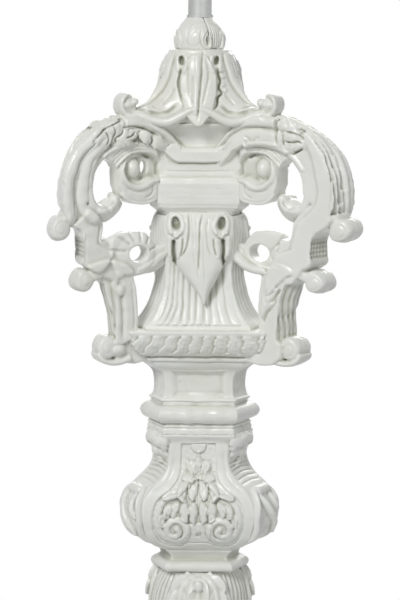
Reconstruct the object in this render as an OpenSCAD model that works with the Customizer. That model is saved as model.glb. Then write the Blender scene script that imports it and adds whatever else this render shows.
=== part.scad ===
// Floor lamp made from a three-sided carved candlestick, with a tapered shade.
// Plan of the carving: three wide sides with three narrow cut corners between them.
// The front wide side faces -Y, and the arms and feet stand on the cut corners.

/* [Stack] */
// Gap between the floor and the underside of the pedestal
base_clearance = 60; // [50:1:90]
// Height of the three-sided pedestal
base_height = 256; // [220:1:320]
// Height of the ring above the pedestal
base_ring_height = 16; // [12:1:24]
// Length of the slender turned stem
baluster_height = 212; // [150:1:280]
// Height of the ring below the leaf bulb
knop_ring_height = 12; // [8:1:20]
// Height of the leaf bulb
bulb_height = 117; // [90:1:150]
// Height of the three-sided ring below the vase
lower_ring_height = 22; // [18:1:30]
// Height of the vase
vase_height = 115; // [95:1:140]
// Height of the collar moulding
collar_height = 31; // [25:1:40]
// Height of the waist
waist_height = 40; // [32:1:52]
// Height of the cornice
cornice_height = 31; // [25:1:40]
// Height of the bell-shaped core
core_height = 105; // [90:1:130]
// Height of the abacus
abacus_height = 42; // [34:1:52]
// Height of the block under the leaf capital
crown_height = 41; // [36:1:50]
// Height of the leaf capital
capital_height = 71; // [60:1:90]
// Height of the small leaf cup at the top of the carving
calyx_height = 29; // [24:1:36]

/* [Carving widths] */
// Wide side of the pedestal's plinth
plinth_wide = 170; // [150:1:200]
// Cut corner of the pedestal's plinth
plinth_cut = 56; // [44:1:70]
// Wide side at the top of the pedestal
base_top_wide = 62; // [50:1:80]
// Widest radius of the turned stem
baluster_radius = 33; // [26:1:42]
// Widest radius of the leaf bulb
bulb_radius = 49; // [40:1:60]
// Wide side of the vase at its belly
vase_wide = 104; // [90:1:125]
// Cut corner of the vase at its belly
vase_cut = 40; // [30:1:50]
// Wide side of the vase at its neck
vase_neck_wide = 54; // [46:1:66]
// Wide side of the collar's round moulding
collar_wide = 62; // [54:1:74]
// Wide side of the waist
waist_wide = 65; // [56:1:78]
// Wide side of the cornice at its top edge
cornice_wide = 125; // [110:1:145]
// Cut corner of the cornice
cornice_cut = 34; // [26:1:44]
// Wide side of the core at its middle
core_wide = 60; // [52:1:70]
// Wide side of the abacus
abacus_wide = 75; // [68:1:88]
// Wide side of the crown block
crown_wide = 41; // [36:1:48]
// Cut corner of the pieces between the collar and the crown
corner_cut = 24; // [18:1:30]
// Largest radius of the leaf capital's bell
capital_radius = 60; // [50:1:70]
// Largest radius of the small leaf cup
calyx_radius = 23.5; // [18:0.5:30]

/* [Arms] */
// Thickness of each arm
arm_thickness = 31; // [24:1:38]
// Thickness of each volute
volute_thickness = 22; // [16:1:30]
// Distance from the axis to the centre of the shoulder's curve
shoulder_out = 100; // [95:1:110]
// Outer radius of the shoulder
shoulder_radius = 51.5; // [46:0.5:58]
// Radius of the hollow under the shoulder
hollow_radius = 25.6; // [22:0.2:30]
// Distance from the axis to the inner edge of the arm's upright
upright_in = 107; // [104:1:112]
// Width of the arm's upright
upright_width = 22; // [18:1:28]
// Radius of the curl on the shoulder's end
outer_curl_radius = 13.5; // [10:0.5:16]
// Radius of the curl at the foot of the upright
lower_curl_radius = 12.5; // [9:0.5:15]
// Radius of the curl on the inner edge
inner_curl_radius = 11.5; // [8:0.5:14]
// Radius of the curl at the end of the leg
leg_curl_radius = 13; // [10:0.5:16]
// Width of the leg
leg_width = 25; // [20:1:30]
// Outer radius of the ear that joins the arm to the core
ear_radius = 20.5; // [18:0.5:24]
// Radius of the hole through the ear
ear_hole_radius = 8.3; // [5:0.1:11]
// Outer radius of the volute
volute_radius = 21; // [18:0.5:24]
// Width of the volute's outer turn
volute_turn = 7.5; // [5:0.5:9]

/* [Feet] */
// Distance from the axis to the outermost point of a foot
foot_reach = 205; // [180:1:240]
// Thickness of each foot
foot_thickness = 46; // [34:1:60]
// Radius of the scroll at the toe
toe_radius = 26; // [20:1:32]
// Radius of each floor glide
glide_radius = 15; // [10:1:20]
// Thickness of each floor glide
glide_thickness = 4; // [2:0.5:8]

/* [Fittings] */
// Outside diameter of the threaded tube that holds the stack together
rod_diameter = 10; // [8:0.5:12]
// Bore of the threaded tube
rod_bore = 7; // [6.6:0.1:7.4]
// Diameter of the inner lead
lead_diameter = 5.8; // [4:0.1:6]
// Outside diameter of the lamp tube
tube_diameter = 22; // [18:0.5:28]
// Wall of the lamp tube
tube_wall = 1.2; // [0.8:0.1:2]
// Length of the lamp tube above its flange
tube_length = 180; // [80:1:260]
// Thickness of the flange ring under the tube
flange_thickness = 2.5; // [2:0.1:4]
// How far the flange ring stands out beyond the tube
flange_lip = 1.3; // [0.8:0.1:3]
// Radius of the ballast disc
ballast_radius = 50; // [40:1:54]
// Thickness of the ballast disc
ballast_thickness = 38; // [20:1:44]
// Thickness of the bottom cover
cover_thickness = 5; // [3:0.5:8]
// Radius of the bore for a cord in the gland
gland_bore_radius = 3.3; // [2.5:0.1:4.5]

/* [Lampholder and bulb] */
// Outside radius of the lampholder's shell
holder_radius = 20; // [18:0.5:24]
// Wall of the lampholder's shell and cap
holder_wall = 1.6; // [1:0.1:2.5]
// Height of the lampholder's cap
holder_cap_height = 26; // [22:1:34]
// Height of the lampholder's shell
holder_shell_height = 40; // [36:1:50]
// Radius of the bulb's screw cap
bulb_cap_radius = 13; // [12.9:0.05:13.1]
// Radius of the bulb's glass
glass_radius = 30; // [25:1:36]
// Radius of the switch key's shaft
key_shaft_radius = 2; // [1.5:0.1:3]
// Gap around the switch key's shaft
key_gap = 0.05; // [0.02:0.01:0.1]
// Length of the switch key's wing
key_wing = 17; // [12:1:24]

/* [Shade] */
// Radius of the shade at its lower edge
shade_bottom_radius = 215; // [210:1:260]
// Radius of the shade at its upper edge
shade_top_radius = 150; // [110:1:200]
// Height of the shade
shade_height = 272; // [220:1:320]
// Thickness of the shade's skin
shade_skin_thickness = 1; // [0.6:0.1:2]
// Radius of the wire of the shade's rings
shade_wire_radius = 2; // [1.5:0.1:3]
// Height of the carrier's ring above the lower wire ring
carrier_rise = 30; // [15:1:45]

/* [Hidden] */
$fn = 64;

// Colours
paint = [0.91, 0.915, 0.89];
steel = [0.77, 0.78, 0.77];
iron = [0.30, 0.30, 0.31];
brass = [0.80, 0.65, 0.35];
plastic = [0.12, 0.12, 0.12];
porcelain = [0.94, 0.93, 0.90];
glass = [0.95, 0.95, 0.92];
cloth = [0.93, 0.90, 0.83];

// Directions of the cut corners and of the wide sides, in degrees from +X
right_corner = -30;
left_corner = 210;
back_corner = 90;
corners = [right_corner, left_corner, back_corner];
front_side = -90;
sides = [front_side, 30, 150];
gland_side = 30;

// Levels of the stack
z_base = base_clearance;
z_base_ring = z_base + base_height;
z_baluster = z_base_ring + base_ring_height;
z_knop_ring = z_baluster + baluster_height;
z_bulb = z_knop_ring + knop_ring_height;
z_lower_ring = z_bulb + bulb_height;
z_vase = z_lower_ring + lower_ring_height;
z_collar = z_vase + vase_height;
z_waist = z_collar + collar_height;
z_cornice = z_waist + waist_height;
z_core = z_cornice + cornice_height;
z_abacus = z_core + core_height;
z_crown = z_abacus + abacus_height;
z_capital = z_crown + crown_height;
z_calyx = z_capital + capital_height;
z_flange = z_calyx + calyx_height;
z_tube = z_flange + flange_thickness;
z_tube_cap = z_tube + tube_length;

// Clearances
bore_clearance = 0.3;
seat_clearance = 0.3;
screw_clearance = 0.1;
bore_radius = rod_diameter / 2 + bore_clearance;

// Pedestal interior
cavity_radius = ballast_radius + 2;
cavity_height = 84;
cover_radius = cavity_radius + 14;
plinth_height = 28;
ballast_gap = 0.3;
z_ballast = z_base + cavity_height - ballast_thickness;
washer_thickness = 2;
washer_radius = 15;
rod_nut_height = 8;
rod_nut_radius = 0.95 * rod_diameter;
rod_tail = 4;
z_rod = z_ballast - washer_thickness - rod_nut_height - rod_tail;

// Rod end, lock nut and lampholder levels
tube_cap_height = 8;
lock_nut_height = 4;
z_lock_nut = z_tube_cap + tube_cap_height;
z_holder = z_lock_nut + lock_nut_height;
holder_thread = 10;
z_rod_top = z_holder + holder_thread;
z_shell = z_holder + holder_cap_height;
core_foot = 12;
core_gap = 0.3;
z_contact = z_shell + core_foot;
contact_height = 3;
z_bulb_contact = z_contact + contact_height;
bulb_contact_height = 2;
z_bulb_cap = z_bulb_contact + bulb_contact_height;
bulb_cap_height = 23;
z_glass = z_bulb_cap + bulb_cap_height;
glass_neck = 38;
glass_wall = 0.8;
z_key = z_shell + 6;

// Shade levels
shade_ring_height = 6;
shade_ring_radius = holder_radius + 7;
carrier_thickness = 2;
z_shade_ring = z_shell + 18;
z_carrier = z_shade_ring + shade_ring_height;
z_lower_wire = z_carrier + carrier_thickness / 2 - carrier_rise;
wire_drop = 4;
z_shade = z_lower_wire - wire_drop;
z_upper_wire = z_shade + shade_height - wire_drop;
skin_slope = (shade_bottom_radius - shade_top_radius) / shade_height;
wire_inset = shade_skin_thickness + seat_clearance + shade_wire_radius * sqrt(1 + skin_slope * skin_slope);

// ---------------------------------------------------------------- helpers

// Distance from the axis to a wide side, and to a cut corner, of the six-sided plan
function side_distance(wide, cut) = (wide + 2 * cut) * sqrt(3) / 6;
function corner_distance(wide, cut) = (wide + 2 * cut) / sqrt(3) - cut * sqrt(3) / 2;

// Rows are [height, wide side, cut corner]. The next four join two rows.
function blend(from, to, t, k) = [from[0] + (to[0] - from[0]) * t,
    from[1] + (to[1] - from[1]) * k, from[2] + (to[2] - from[2]) * k];
function ogee(from, to, n = 6) = [for (i = [1:n]) blend(from, to, i / n, (1 - cos(180 * i / n)) / 2)];
function swell(from, to, n = 5) = [for (i = [1:n]) blend(from, to, i / n, sin(90 * i / n))];
function hollow(from, to, n = 5) = [for (i = [1:n]) blend(from, to, i / n, 1 - cos(90 * i / n))];

// Half-round moulding of the given height that stands out from a row
function half_round(from, height, n = 6) = [for (i = [0:n])
    let (out = height / sqrt(3) * sin(180 * i / n))
    [from[0] + height / 2 * (1 - cos(180 * i / n)), from[1] + out, from[2] + out]];

// Points of an arc, for turned profiles
function arc(x, z, r, a0, a1, n = 8) = [for (i = [0:n])
    let (a = a0 + (a1 - a0) * i / n) [x + r * cos(a), z + r * sin(a)]];

// An outline drawn in distance from the axis and height, given a thickness
module radial(angle, thickness) {
    rotate([0, 0, angle])
        rotate([90, 0, 0])
            linear_extrude(thickness, center = true)
                children();
}

module side_prism(edge, angle) {
    reach = 150;
    last = len(edge) - 1;
    radial(angle, 2 * reach)
        polygon(concat([[-reach, edge[0][1]]], edge, [[-reach, edge[last][1]]]));
}

// Six-sided moulding through rows of [height, wide side, cut corner]
module moulding(rows, grow = 0) {
    wide_edge = [for (row = rows) [side_distance(row[1], row[2]) + grow, row[0]]];
    cut_edge = [for (row = rows) [corner_distance(row[1], row[2]) + grow, row[0]]];
    intersection() {
        side_prism(wide_edge, sides[0]);
        side_prism(wide_edge, sides[1]);
        side_prism(wide_edge, sides[2]);
        side_prism(cut_edge, corners[0]);
        side_prism(cut_edge, corners[1]);
        side_prism(cut_edge, corners[2]);
    }
}

// Straight block with the same six-sided plan
module plan_block(wide, cut, height) {
    out = side_distance(wide, cut);
    linear_extrude(height)
        polygon([for (angle = sides) for (half = [-wide / 2, wide / 2])
            [out * cos(angle) - half * sin(angle), out * sin(angle) + half * cos(angle)]]);
}

module at_level(z) {
    translate([0, 0, z])
        children();
}

// The bore that the threaded tube passes through
module rod_hole(z0, height) {
    at_level(z0 - 1)
        cylinder(r = bore_radius, h = height + 2);
}

module turned(points) {
    rotate_extrude()
        polygon(points);
}

module ring_wire(radius, wire) {
    rotate_extrude()
        translate([radius, 0])
            circle(r = wire, $fn = 32);
}

module tube(r_out, r_in, height) {
    difference() {
        cylinder(r = r_out, h = height);
        at_level(-1)
            cylinder(r = r_in, h = height + 2);
    }
}

module nut(across_corners_radius, height, hole_radius) {
    difference() {
        cylinder(r = across_corners_radius, h = height, $fn = 6);
        at_level(-1)
            cylinder(r = hole_radius, h = height + 2, $fn = 64);
    }
}

// ---------------------------------------------------------------- pedestal and feet

plinth_row = [0, plinth_wide, plinth_cut];
dado_wide = plinth_wide - 24;
dado_cut = plinth_cut - 8;
base_rows = concat(
    [plinth_row, [plinth_height, plinth_wide, plinth_cut]],
    swell([plinth_height, plinth_wide, plinth_cut], [plinth_height + 14, dado_wide, dado_cut]),
    [[cavity_height + 22, dado_wide - 10, dado_cut - 4]],
    ogee([cavity_height + 22, dado_wide - 10, dado_cut - 4], [base_height - 34, base_top_wide, corner_cut], 10),
    half_round([base_height - 30, base_top_wide + 2, corner_cut + 2], 14),
    hollow([base_height - 16, base_top_wide, corner_cut], [base_height - 6, base_top_wide + 18, corner_cut + 12]),
    [[base_height, base_top_wide + 18, corner_cut + 12]]
);

foot_hinge = cover_radius + 4;
foot_plate = 20;
foot_screw_places = [foot_hinge + 9, foot_hinge + 27];
foot_screw_radius = 2.5;
foot_screw_length = 56;
foot_head_radius = 5;
foot_head_height = 3;
foot_curl_radius = 19;
gland_pocket = 63;
gland_pocket_width = 26;
gland_barrel_radius = 7;
gland_flange_radius = 10;
gland_flange_thickness = 5;
gland_nut_height = 5;
gland_nut_radius = gland_barrel_radius + 4;
gland_level = cover_thickness + gland_nut_radius + 1;
cover_screw_radius = 1.75;
cover_screw_length = 16;
cover_head_radius = 3.5;
cover_head_height = 2;
cover_screw_place = cavity_radius + 7;
gland_face = side_distance(plinth_wide, plinth_cut);

module pedestal_shape() {
    at_level(z_base)
        moulding(base_rows);
}

module foot_screw_shape(clearance) {
    for (angle = corners, place = foot_screw_places)
        rotate([0, 0, angle])
            translate([place, 0, z_base - foot_plate]) {
                cylinder(r = foot_head_radius + 3 * clearance, h = foot_head_height);
                cylinder(r = foot_screw_radius + clearance, h = foot_screw_length);
            }
}

module cover_screw_shape(clearance) {
    for (angle = sides)
        rotate([0, 0, angle + 40])
            translate([cover_screw_place, 0, z_base]) {
                cylinder(r = cover_head_radius + 3 * clearance, h = cover_head_height);
                cylinder(r = cover_screw_radius + clearance, h = cover_screw_length);
            }
}

module gland_axis() {
    rotate([0, 0, gland_side])
        translate([0, 0, z_base + gland_level])
            rotate([0, 90, 0])
                children();
}

module base_body() {
    color(paint)
        difference() {
            pedestal_shape();
            rod_hole(z_base, base_height);
            at_level(z_base - 1)
                cylinder(r = cavity_radius, h = cavity_height + 1);
            at_level(z_base - 1)
                cylinder(r = cover_radius, h = cover_thickness + 1);
            rotate([0, 0, gland_side])
                translate([0, -gland_pocket_width / 2, z_base + gland_level - gland_pocket_width / 2])
                    cube([gland_pocket, gland_pocket_width, gland_pocket_width]);
            gland_axis()
                cylinder(r = gland_barrel_radius + screw_clearance, h = gland_face + 1);
            foot_screw_shape(screw_clearance);
            cover_screw_shape(screw_clearance);
        }
}

module base_cover() {
    color(plastic)
        difference() {
            at_level(z_base)
                cylinder(r = cover_radius - seat_clearance, h = cover_thickness);
            cover_screw_shape(screw_clearance);
        }
}

module cover_screws() {
    color(steel)
        cover_screw_shape(0);
}

module ballast() {
    color(iron)
        at_level(z_ballast)
            tube(ballast_radius, bore_radius, ballast_thickness - ballast_gap);
}

// Scroll foot: a plate under the pedestal, a knee with a curl, and a toe scroll
toe_out = foot_reach - toe_radius;
knee_out = (foot_hinge + toe_out) / 2 + 4;
knee_top = base_clearance + 34;
module foot_outline() {
    difference() {
        union() {
            polygon([
                [foot_hinge, base_clearance], [foot_hinge, base_clearance - foot_plate],
                [foot_hinge + 34, base_clearance - foot_plate - 6], [knee_out, base_clearance - 8],
                [toe_out - 14, base_clearance - 34], [toe_out, glide_thickness],
                [toe_out + 20, glide_thickness + 14], [toe_out + 8, base_clearance - 8],
                [knee_out + 22, knee_top], [knee_out, knee_top + 10],
                [foot_hinge + 24, knee_top], [foot_hinge + 12, base_clearance]
            ]);
            translate([toe_out, toe_radius + glide_thickness - 1])
                circle(r = toe_radius);
            translate([knee_out - 4, knee_top + 2])
                circle(r = foot_curl_radius);
        }
        translate([0, glide_thickness - 50])
            square([foot_reach + 10, 50]);
    }
}

module foot(angle) {
    color(paint)
        difference() {
            radial(angle, foot_thickness)
                foot_outline();
            pedestal_shape();
            foot_screw_shape(screw_clearance);
        }
}

module foot_screws() {
    color(steel)
        foot_screw_shape(0);
}

module glides() {
    color(plastic)
        for (angle = corners)
            rotate([0, 0, angle])
                translate([toe_out, 0, 0])
                    cylinder(r = glide_radius, h = glide_thickness);
}

// ---------------------------------------------------------------- cord inlet and inner lead

gland_inside = gland_pocket - gland_nut_height - 5;
module cord_gland() {
    color(plastic)
        gland_axis()
            difference() {
                union() {
                    at_level(gland_inside)
                        cylinder(r = gland_barrel_radius, h = gland_face - gland_inside);
                    at_level(gland_face)
                        cylinder(r = gland_flange_radius, h = gland_flange_thickness);
                }
                at_level(gland_inside - 1)
                    cylinder(r = gland_bore_radius, h = gland_face);
            }
}

module gland_nut() {
    color(plastic)
        gland_axis()
            at_level(gland_pocket - gland_nut_height)
                nut(gland_nut_radius, gland_nut_height, gland_barrel_radius + 0.05);
}

block_size = [22, 16, 12];
block_near = 18;
z_block = z_base + cover_thickness;
lead_level = z_block + 6;
lead_bend = 14;
lead_radius = lead_diameter / 2;
module terminal_block() {
    color(porcelain)
        rotate([0, 0, gland_side])
            translate([block_near, -block_size[1] / 2, z_block])
                cube(block_size);
}

module inner_lead() {
    color(plastic)
        rotate([0, 0, gland_side])
            union() {
                translate([lead_bend, 0, lead_level])
                    rotate([0, 90, 0])
                        cylinder(r = lead_radius, h = block_near - lead_bend, $fn = 32);
                translate([lead_bend, 0, lead_level + lead_bend])
                    rotate([90, 0, 0])
                        rotate([0, 0, 180])
                            rotate_extrude(angle = 90)
                                translate([lead_bend, 0])
                                    circle(r = lead_radius, $fn = 32);
                at_level(lead_level + lead_bend)
                    cylinder(r = lead_radius, h = z_shell - lead_level - lead_bend, $fn = 32);
            }
}

// ---------------------------------------------------------------- threaded tube

module threaded_rod() {
    color(steel)
        at_level(z_rod)
            tube(rod_diameter / 2, rod_bore / 2, z_rod_top - z_rod);
}

module rod_nut() {
    color(steel)
        at_level(z_ballast - washer_thickness - rod_nut_height)
            nut(rod_nut_radius, rod_nut_height, rod_diameter / 2 + 0.05);
}

module rod_washer() {
    color(steel)
        at_level(z_ballast - washer_thickness)
            tube(washer_radius, bore_radius, washer_thickness);
}

module lock_nut() {
    color(steel)
        at_level(z_lock_nut)
            nut(rod_nut_radius, lock_nut_height, rod_diameter / 2 + 0.05);
}

// ---------------------------------------------------------------- turned stem

ring_neck = 21;
module base_ring() {
    color(paint)
        difference() {
            at_level(z_base_ring)
                turned(concat([[0, 0], [baluster_radius, 0]],
                    arc(baluster_radius, base_ring_height / 2, base_ring_height / 2, -90, 90),
                    [[0, base_ring_height]]));
            rod_hole(z_base_ring, base_ring_height);
        }
}

// Slender stem: a belly low down, a long taper and a small necking at the top
baluster_neck = 15;
belly_level = 62;
module baluster() {
    taper = [for (i = [0:10]) let (t = i / 10)
        [baluster_neck + 3 + (baluster_radius - baluster_neck - 3) * (1 + cos(180 * t)) / 2,
            belly_level + (baluster_height - 26 - belly_level) * t]];
    color(paint)
        difference() {
            at_level(z_baluster)
                turned(concat(
                    [[0, 0], [baluster_radius - 6, 0], [baluster_radius - 6, 5], [ring_neck, 12]],
                    [for (i = [1:6]) [ring_neck + (baluster_radius - ring_neck) * sin(15 * i),
                        12 + (belly_level - 12) * (1 - cos(15 * i))]],
                    taper,
                    arc(baluster_neck + 3, baluster_height - 20, 5, -90, 90, 6),
                    [[baluster_neck, baluster_height - 14], [baluster_neck, baluster_height - 8]],
                    [[ring_neck, baluster_height], [0, baluster_height]]));
            rod_hole(z_baluster, baluster_height);
        }
}

module knop_ring() {
    color(paint)
        difference() {
            at_level(z_knop_ring)
                turned(concat([[0, 0], [ring_neck + 4, 0]],
                    arc(ring_neck + 4, knop_ring_height / 2, knop_ring_height / 2, -90, 90, 6),
                    [[0, knop_ring_height]]));
            rod_hole(z_knop_ring, knop_ring_height);
        }
}

// Leaf bulb: an egg that is widest above its middle
bulb_foot = 24;
bulb_shoulder = 33;
bulb_widest = bulb_height - 42;
module leaf_bulb() {
    color(paint)
        difference() {
            at_level(z_bulb)
                turned(concat([[0, 0], [bulb_foot, 0]],
                    [for (i = [1:9]) let (t = 10 * i)
                        [bulb_foot + (bulb_radius - bulb_foot) * sin(t), bulb_widest * (1 - cos(t))]],
                    [for (i = [1:8]) let (t = 90 * i / 8)
                        [bulb_shoulder + (bulb_radius - bulb_shoulder) * cos(t),
                            bulb_widest + (bulb_height - bulb_widest) * sin(t)]],
                    [[0, bulb_height]]));
            rod_hole(z_bulb, bulb_height);
        }
}

// ---------------------------------------------------------------- vase, collar, waist, cornice

ring_wide = 59;
ring_cut = 30;
module lower_ring() {
    rows = concat(
        [[0, ring_wide - 4, ring_cut - 4]],
        half_round([1, ring_wide - 4, ring_cut - 4], 9),
        hollow([11, ring_wide - 8, ring_cut - 6], [lower_ring_height, ring_wide + 6, ring_cut - 8]));
    color(paint)
        difference() {
            at_level(z_lower_ring)
                moulding(rows);
            rod_hole(z_lower_ring, lower_ring_height);
        }
}

vase_foot_row = [0, vase_wide - 30, vase_cut - 22];
vase_belly_row = [46, vase_wide, vase_cut];
vase_neck_cut = 36;
vase_neck_row = [82, vase_neck_wide, vase_neck_cut];
vase_rows = concat(
    [vase_foot_row],
    swell(vase_foot_row, vase_belly_row, 7),
    ogee(vase_belly_row, vase_neck_row, 8),
    [[vase_height - 9, vase_neck_wide, vase_neck_cut]],
    hollow([vase_height - 9, vase_neck_wide, vase_neck_cut], [vase_height - 2, waist_wide + 3, vase_neck_cut], 4),
    [[vase_height, waist_wide + 3, vase_neck_cut]]);

module vase_shape(grow = 0) {
    at_level(z_vase)
        moulding(vase_rows, grow);
}

module vase() {
    color(paint)
        difference() {
            vase_shape();
            rod_hole(z_vase, vase_height);
        }
}

// Raised panel of leaves and facing scrolls on each wide side
panel_relief = 4;
module panel_outline() {
    scroll = 17;
    for (m = [0, 1])
        mirror([m, 0])
            translate([19, z_vase + 25])
                circle(r = scroll);
    translate([0, z_vase + 44])
        circle(r = 16);
    polygon([[-24, z_vase + 22], [24, z_vase + 22], [15, z_vase + 66], [9, z_vase + 92],
        [-9, z_vase + 92], [-15, z_vase + 66]]);
}

module vase_panels() {
    color(paint)
        for (angle = sides)
            difference() {
                intersection() {
                    vase_shape(panel_relief);
                    rotate([0, 0, angle + 90])
                        translate([0, -20, 0])
                            rotate([90, 0, 0])
                                linear_extrude(2 * vase_wide)
                                    panel_outline();
                }
                vase_shape();
            }
}

// Folded leaf on each cut corner
corner_relief = 9;
module corner_leaves() {
    color(paint)
        for (angle = corners)
            difference() {
                intersection() {
                    vase_shape(corner_relief);
                    rotate([0, 0, angle + 90])
                        translate([0, -30, 0])
                            rotate([90, 0, 0])
                                linear_extrude(2 * vase_wide)
                                    polygon([[-12, z_vase + 8], [12, z_vase + 8], [19, z_vase + 46],
                                        [16, z_vase + 70], [-16, z_vase + 70], [-19, z_vase + 46]]);
                }
                vase_shape();
            }
}

module collar() {
    base_row = [0, collar_wide + 5, vase_neck_cut - 3];
    torus_level = 10;
    torus_height = 17;
    rows = concat(
        [base_row, [torus_level - 5, collar_wide + 5, vase_neck_cut - 3]],
        [[torus_level - 5, collar_wide, vase_neck_cut - 6]],
        half_round([torus_level, collar_wide, vase_neck_cut - 6], torus_height, 8),
        [[collar_height, collar_wide + 4, corner_cut + 2]]);
    color(paint)
        difference() {
            at_level(z_collar)
                moulding(rows);
            rod_hole(z_collar, collar_height);
        }
}

waist_panel_width = 44;
waist_panel_height = 23;
waist_panel_level = 4.5;
waist_panel_depth = 2.5;
waist_fillet = 2;
waist_flare = 9;
waist_flare_wide = waist_wide + 3;
module waist_body() {
    flare_row = [waist_height - waist_flare, waist_flare_wide, corner_cut + 1];
    at_level(z_waist)
        plan_block(waist_wide + 3, corner_cut + 2, waist_fillet);
    at_level(z_waist + waist_fillet - 1)
        plan_block(waist_wide, corner_cut, waist_height - waist_flare);
    at_level(z_waist)
        moulding(concat([flare_row], hollow(flare_row, [waist_height, waist_wide + 20, corner_cut + 4])));
}

module waist_block() {
    color(paint)
        difference() {
            waist_body();
            rod_hole(z_waist, waist_height);
            for (angle = sides)
                rotate([0, 0, angle + 90])
                    translate([-waist_panel_width / 2, -side_distance(waist_wide, corner_cut) - 20,
                        z_waist + waist_panel_level])
                        cube([waist_panel_width, 20 + waist_panel_depth, waist_panel_height]);
        }
}

cornice_foot_row = [0, cornice_wide - 35, corner_cut + 4];
cornice_top_row = [cornice_height - 6, cornice_wide, cornice_cut];
module cornice_shape() {
    at_level(z_cornice)
        moulding(concat(
            [cornice_foot_row, [5, cornice_foot_row[1], cornice_foot_row[2]]],
            swell([5, cornice_foot_row[1], cornice_foot_row[2]], cornice_top_row, 6),
            [[cornice_height, cornice_wide, cornice_cut]]));
}

module cornice() {
    color(paint)
        difference() {
            cornice_shape();
            rod_hole(z_cornice, cornice_height);
        }
}

// ---------------------------------------------------------------- core, leaves, abacus, crown

core_waist_level = 54;
core_rows = concat(
    [[0, core_wide + 36, corner_cut + 6]],
    [for (i = [1:8]) blend([0, core_wide + 36, corner_cut + 6], [core_waist_level, core_wide, corner_cut],
        1 - cos(90 * i / 8), sin(90 * i / 8))],
    [[core_height - 28, core_wide + 4, corner_cut], [core_height, core_wide, corner_cut]]);

module core_shape() {
    at_level(z_core)
        moulding(core_rows);
}

module bell_core() {
    color(paint)
        difference() {
            core_shape();
            rod_hole(z_core, core_height);
        }
}

// Leaf that hangs from under the abacus over each wide side, with two eye holes
leaf_half = 33;
leaf_tip = 23;
leaf_eye_out = 22;
leaf_eye_radius = 4;
leaf_stand_out = 9;
module leaf_outline() {
    difference() {
        polygon([[-leaf_half, z_abacus], [leaf_half, z_abacus],
            [leaf_half, z_core + core_waist_level], [14, z_core + 48], [0, z_core + leaf_tip],
            [-14, z_core + 48], [-leaf_half, z_core + core_waist_level]]);
        for (m = [-1, 1])
            translate([m * leaf_eye_out, z_abacus - 6])
                circle(r = leaf_eye_radius);
    }
}

module hanging_leaves() {
    sink = 4;
    inner = side_distance(core_wide, corner_cut) - sink;
    color(paint)
        difference() {
            for (angle = sides)
                rotate([0, 0, angle + 90])
                    translate([0, -inner, 0])
                        rotate([90, 0, 0])
                            linear_extrude(leaf_stand_out + sink)
                                leaf_outline();
            core_shape();
            for (angle = corners)
                arm_board(angle, arm_thickness);
        }
}

module abacus_shape() {
    at_level(z_abacus)
        moulding(concat(
            [[0, abacus_wide - 18, corner_cut - 4], [2, abacus_wide - 18, corner_cut - 4]],
            hollow([2, abacus_wide - 18, corner_cut - 4], [12, abacus_wide - 2, corner_cut - 2]),
            [[12, abacus_wide, corner_cut - 2], [32, abacus_wide, corner_cut - 2]],
            [[35, abacus_wide - 4, corner_cut - 3], [38, abacus_wide - 4, corner_cut - 3]],
            [[abacus_height, abacus_wide - 8, corner_cut - 4]]));
}

module abacus() {
    color(paint)
        difference() {
            abacus_shape();
            rod_hole(z_abacus, abacus_height);
        }
}

crown_recess = 8;
module crown_shape() {
    at_level(z_crown)
        moulding([
            [0, crown_wide - 4, corner_cut - 8], [crown_recess, crown_wide - 4, corner_cut - 8],
            [crown_recess, crown_wide, corner_cut - 6], [crown_recess + 13, crown_wide, corner_cut - 6],
            [crown_height, crown_wide + 8, corner_cut]]);
}

module crown_block() {
    color(paint)
        difference() {
            crown_shape();
            rod_hole(z_crown, crown_height);
        }
}

// ---------------------------------------------------------------- arms

z_shoulder = z_capital - 45;
z_hollow = z_shoulder + 7;
z_ear = z_abacus - 32.5;
ear_out = 75;
upright_out = upright_in + upright_width;
leg_in = 72;
leg_out = leg_in + leg_width;
z_leg = z_core + 10;
z_knee = z_ear - 6;

module shoulder_outline() {
    difference() {
        translate([shoulder_out, z_shoulder])
            circle(r = shoulder_radius);
        translate([shoulder_out - 7, z_hollow])
            circle(r = hollow_radius);
        translate([0, z_shoulder - 2 * shoulder_radius])
            square([upright_in, 2 * shoulder_radius + 7]);
        translate([0, z_shoulder])
            square([shoulder_out - 20, 2 * shoulder_radius]);
    }
}

// Band that springs from the crown block and rises to the shoulder
module band_outline() {
    polygon([
        [16, z_crown + 9], [34, z_crown + 9], [46, z_crown + 14], [58, z_crown + 22],
        [76, z_crown + 28], [shoulder_out - 7, z_hollow + hollow_radius],
        [shoulder_out, z_shoulder + shoulder_radius], [82, z_capital + 6],
        [62, z_capital + 3], [46, z_capital - 4], [34, z_capital - 15], [16, z_capital - 20]
    ]);
}

module upright_outline() {
    polygon([
        [upright_in, z_knee - 8], [upright_in, z_shoulder - 14], [upright_in + 10, z_shoulder],
        [shoulder_out + shoulder_radius - 8, z_shoulder - 20], [upright_out + 20, z_ear + 40],
        [upright_out + 18, z_ear + 15], [upright_out, z_ear + 17], [upright_out, z_knee - 8]
    ]);
}

module outer_curl_outline() {
    translate([upright_out + 23, z_ear + 28])
        circle(r = outer_curl_radius);
}

module inner_curl_outline() {
    translate([upright_in - 4, z_ear + 47])
        circle(r = inner_curl_radius);
}

// Ear: a ring around its hole, a tail into the core and a neck into the upright
module ear_outline() {
    polygon(concat(
        [[30, z_ear - 18]],
        arc(ear_out, z_ear, ear_radius, 240, 280, 3),
        [[upright_in + 1, z_ear - 14], [upright_in + 1, z_ear + 13], [ear_out + 14, z_ear + 22]],
        arc(ear_out, z_ear, ear_radius, 80, 150, 5),
        [[30, z_ear + 9]]));
}

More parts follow.
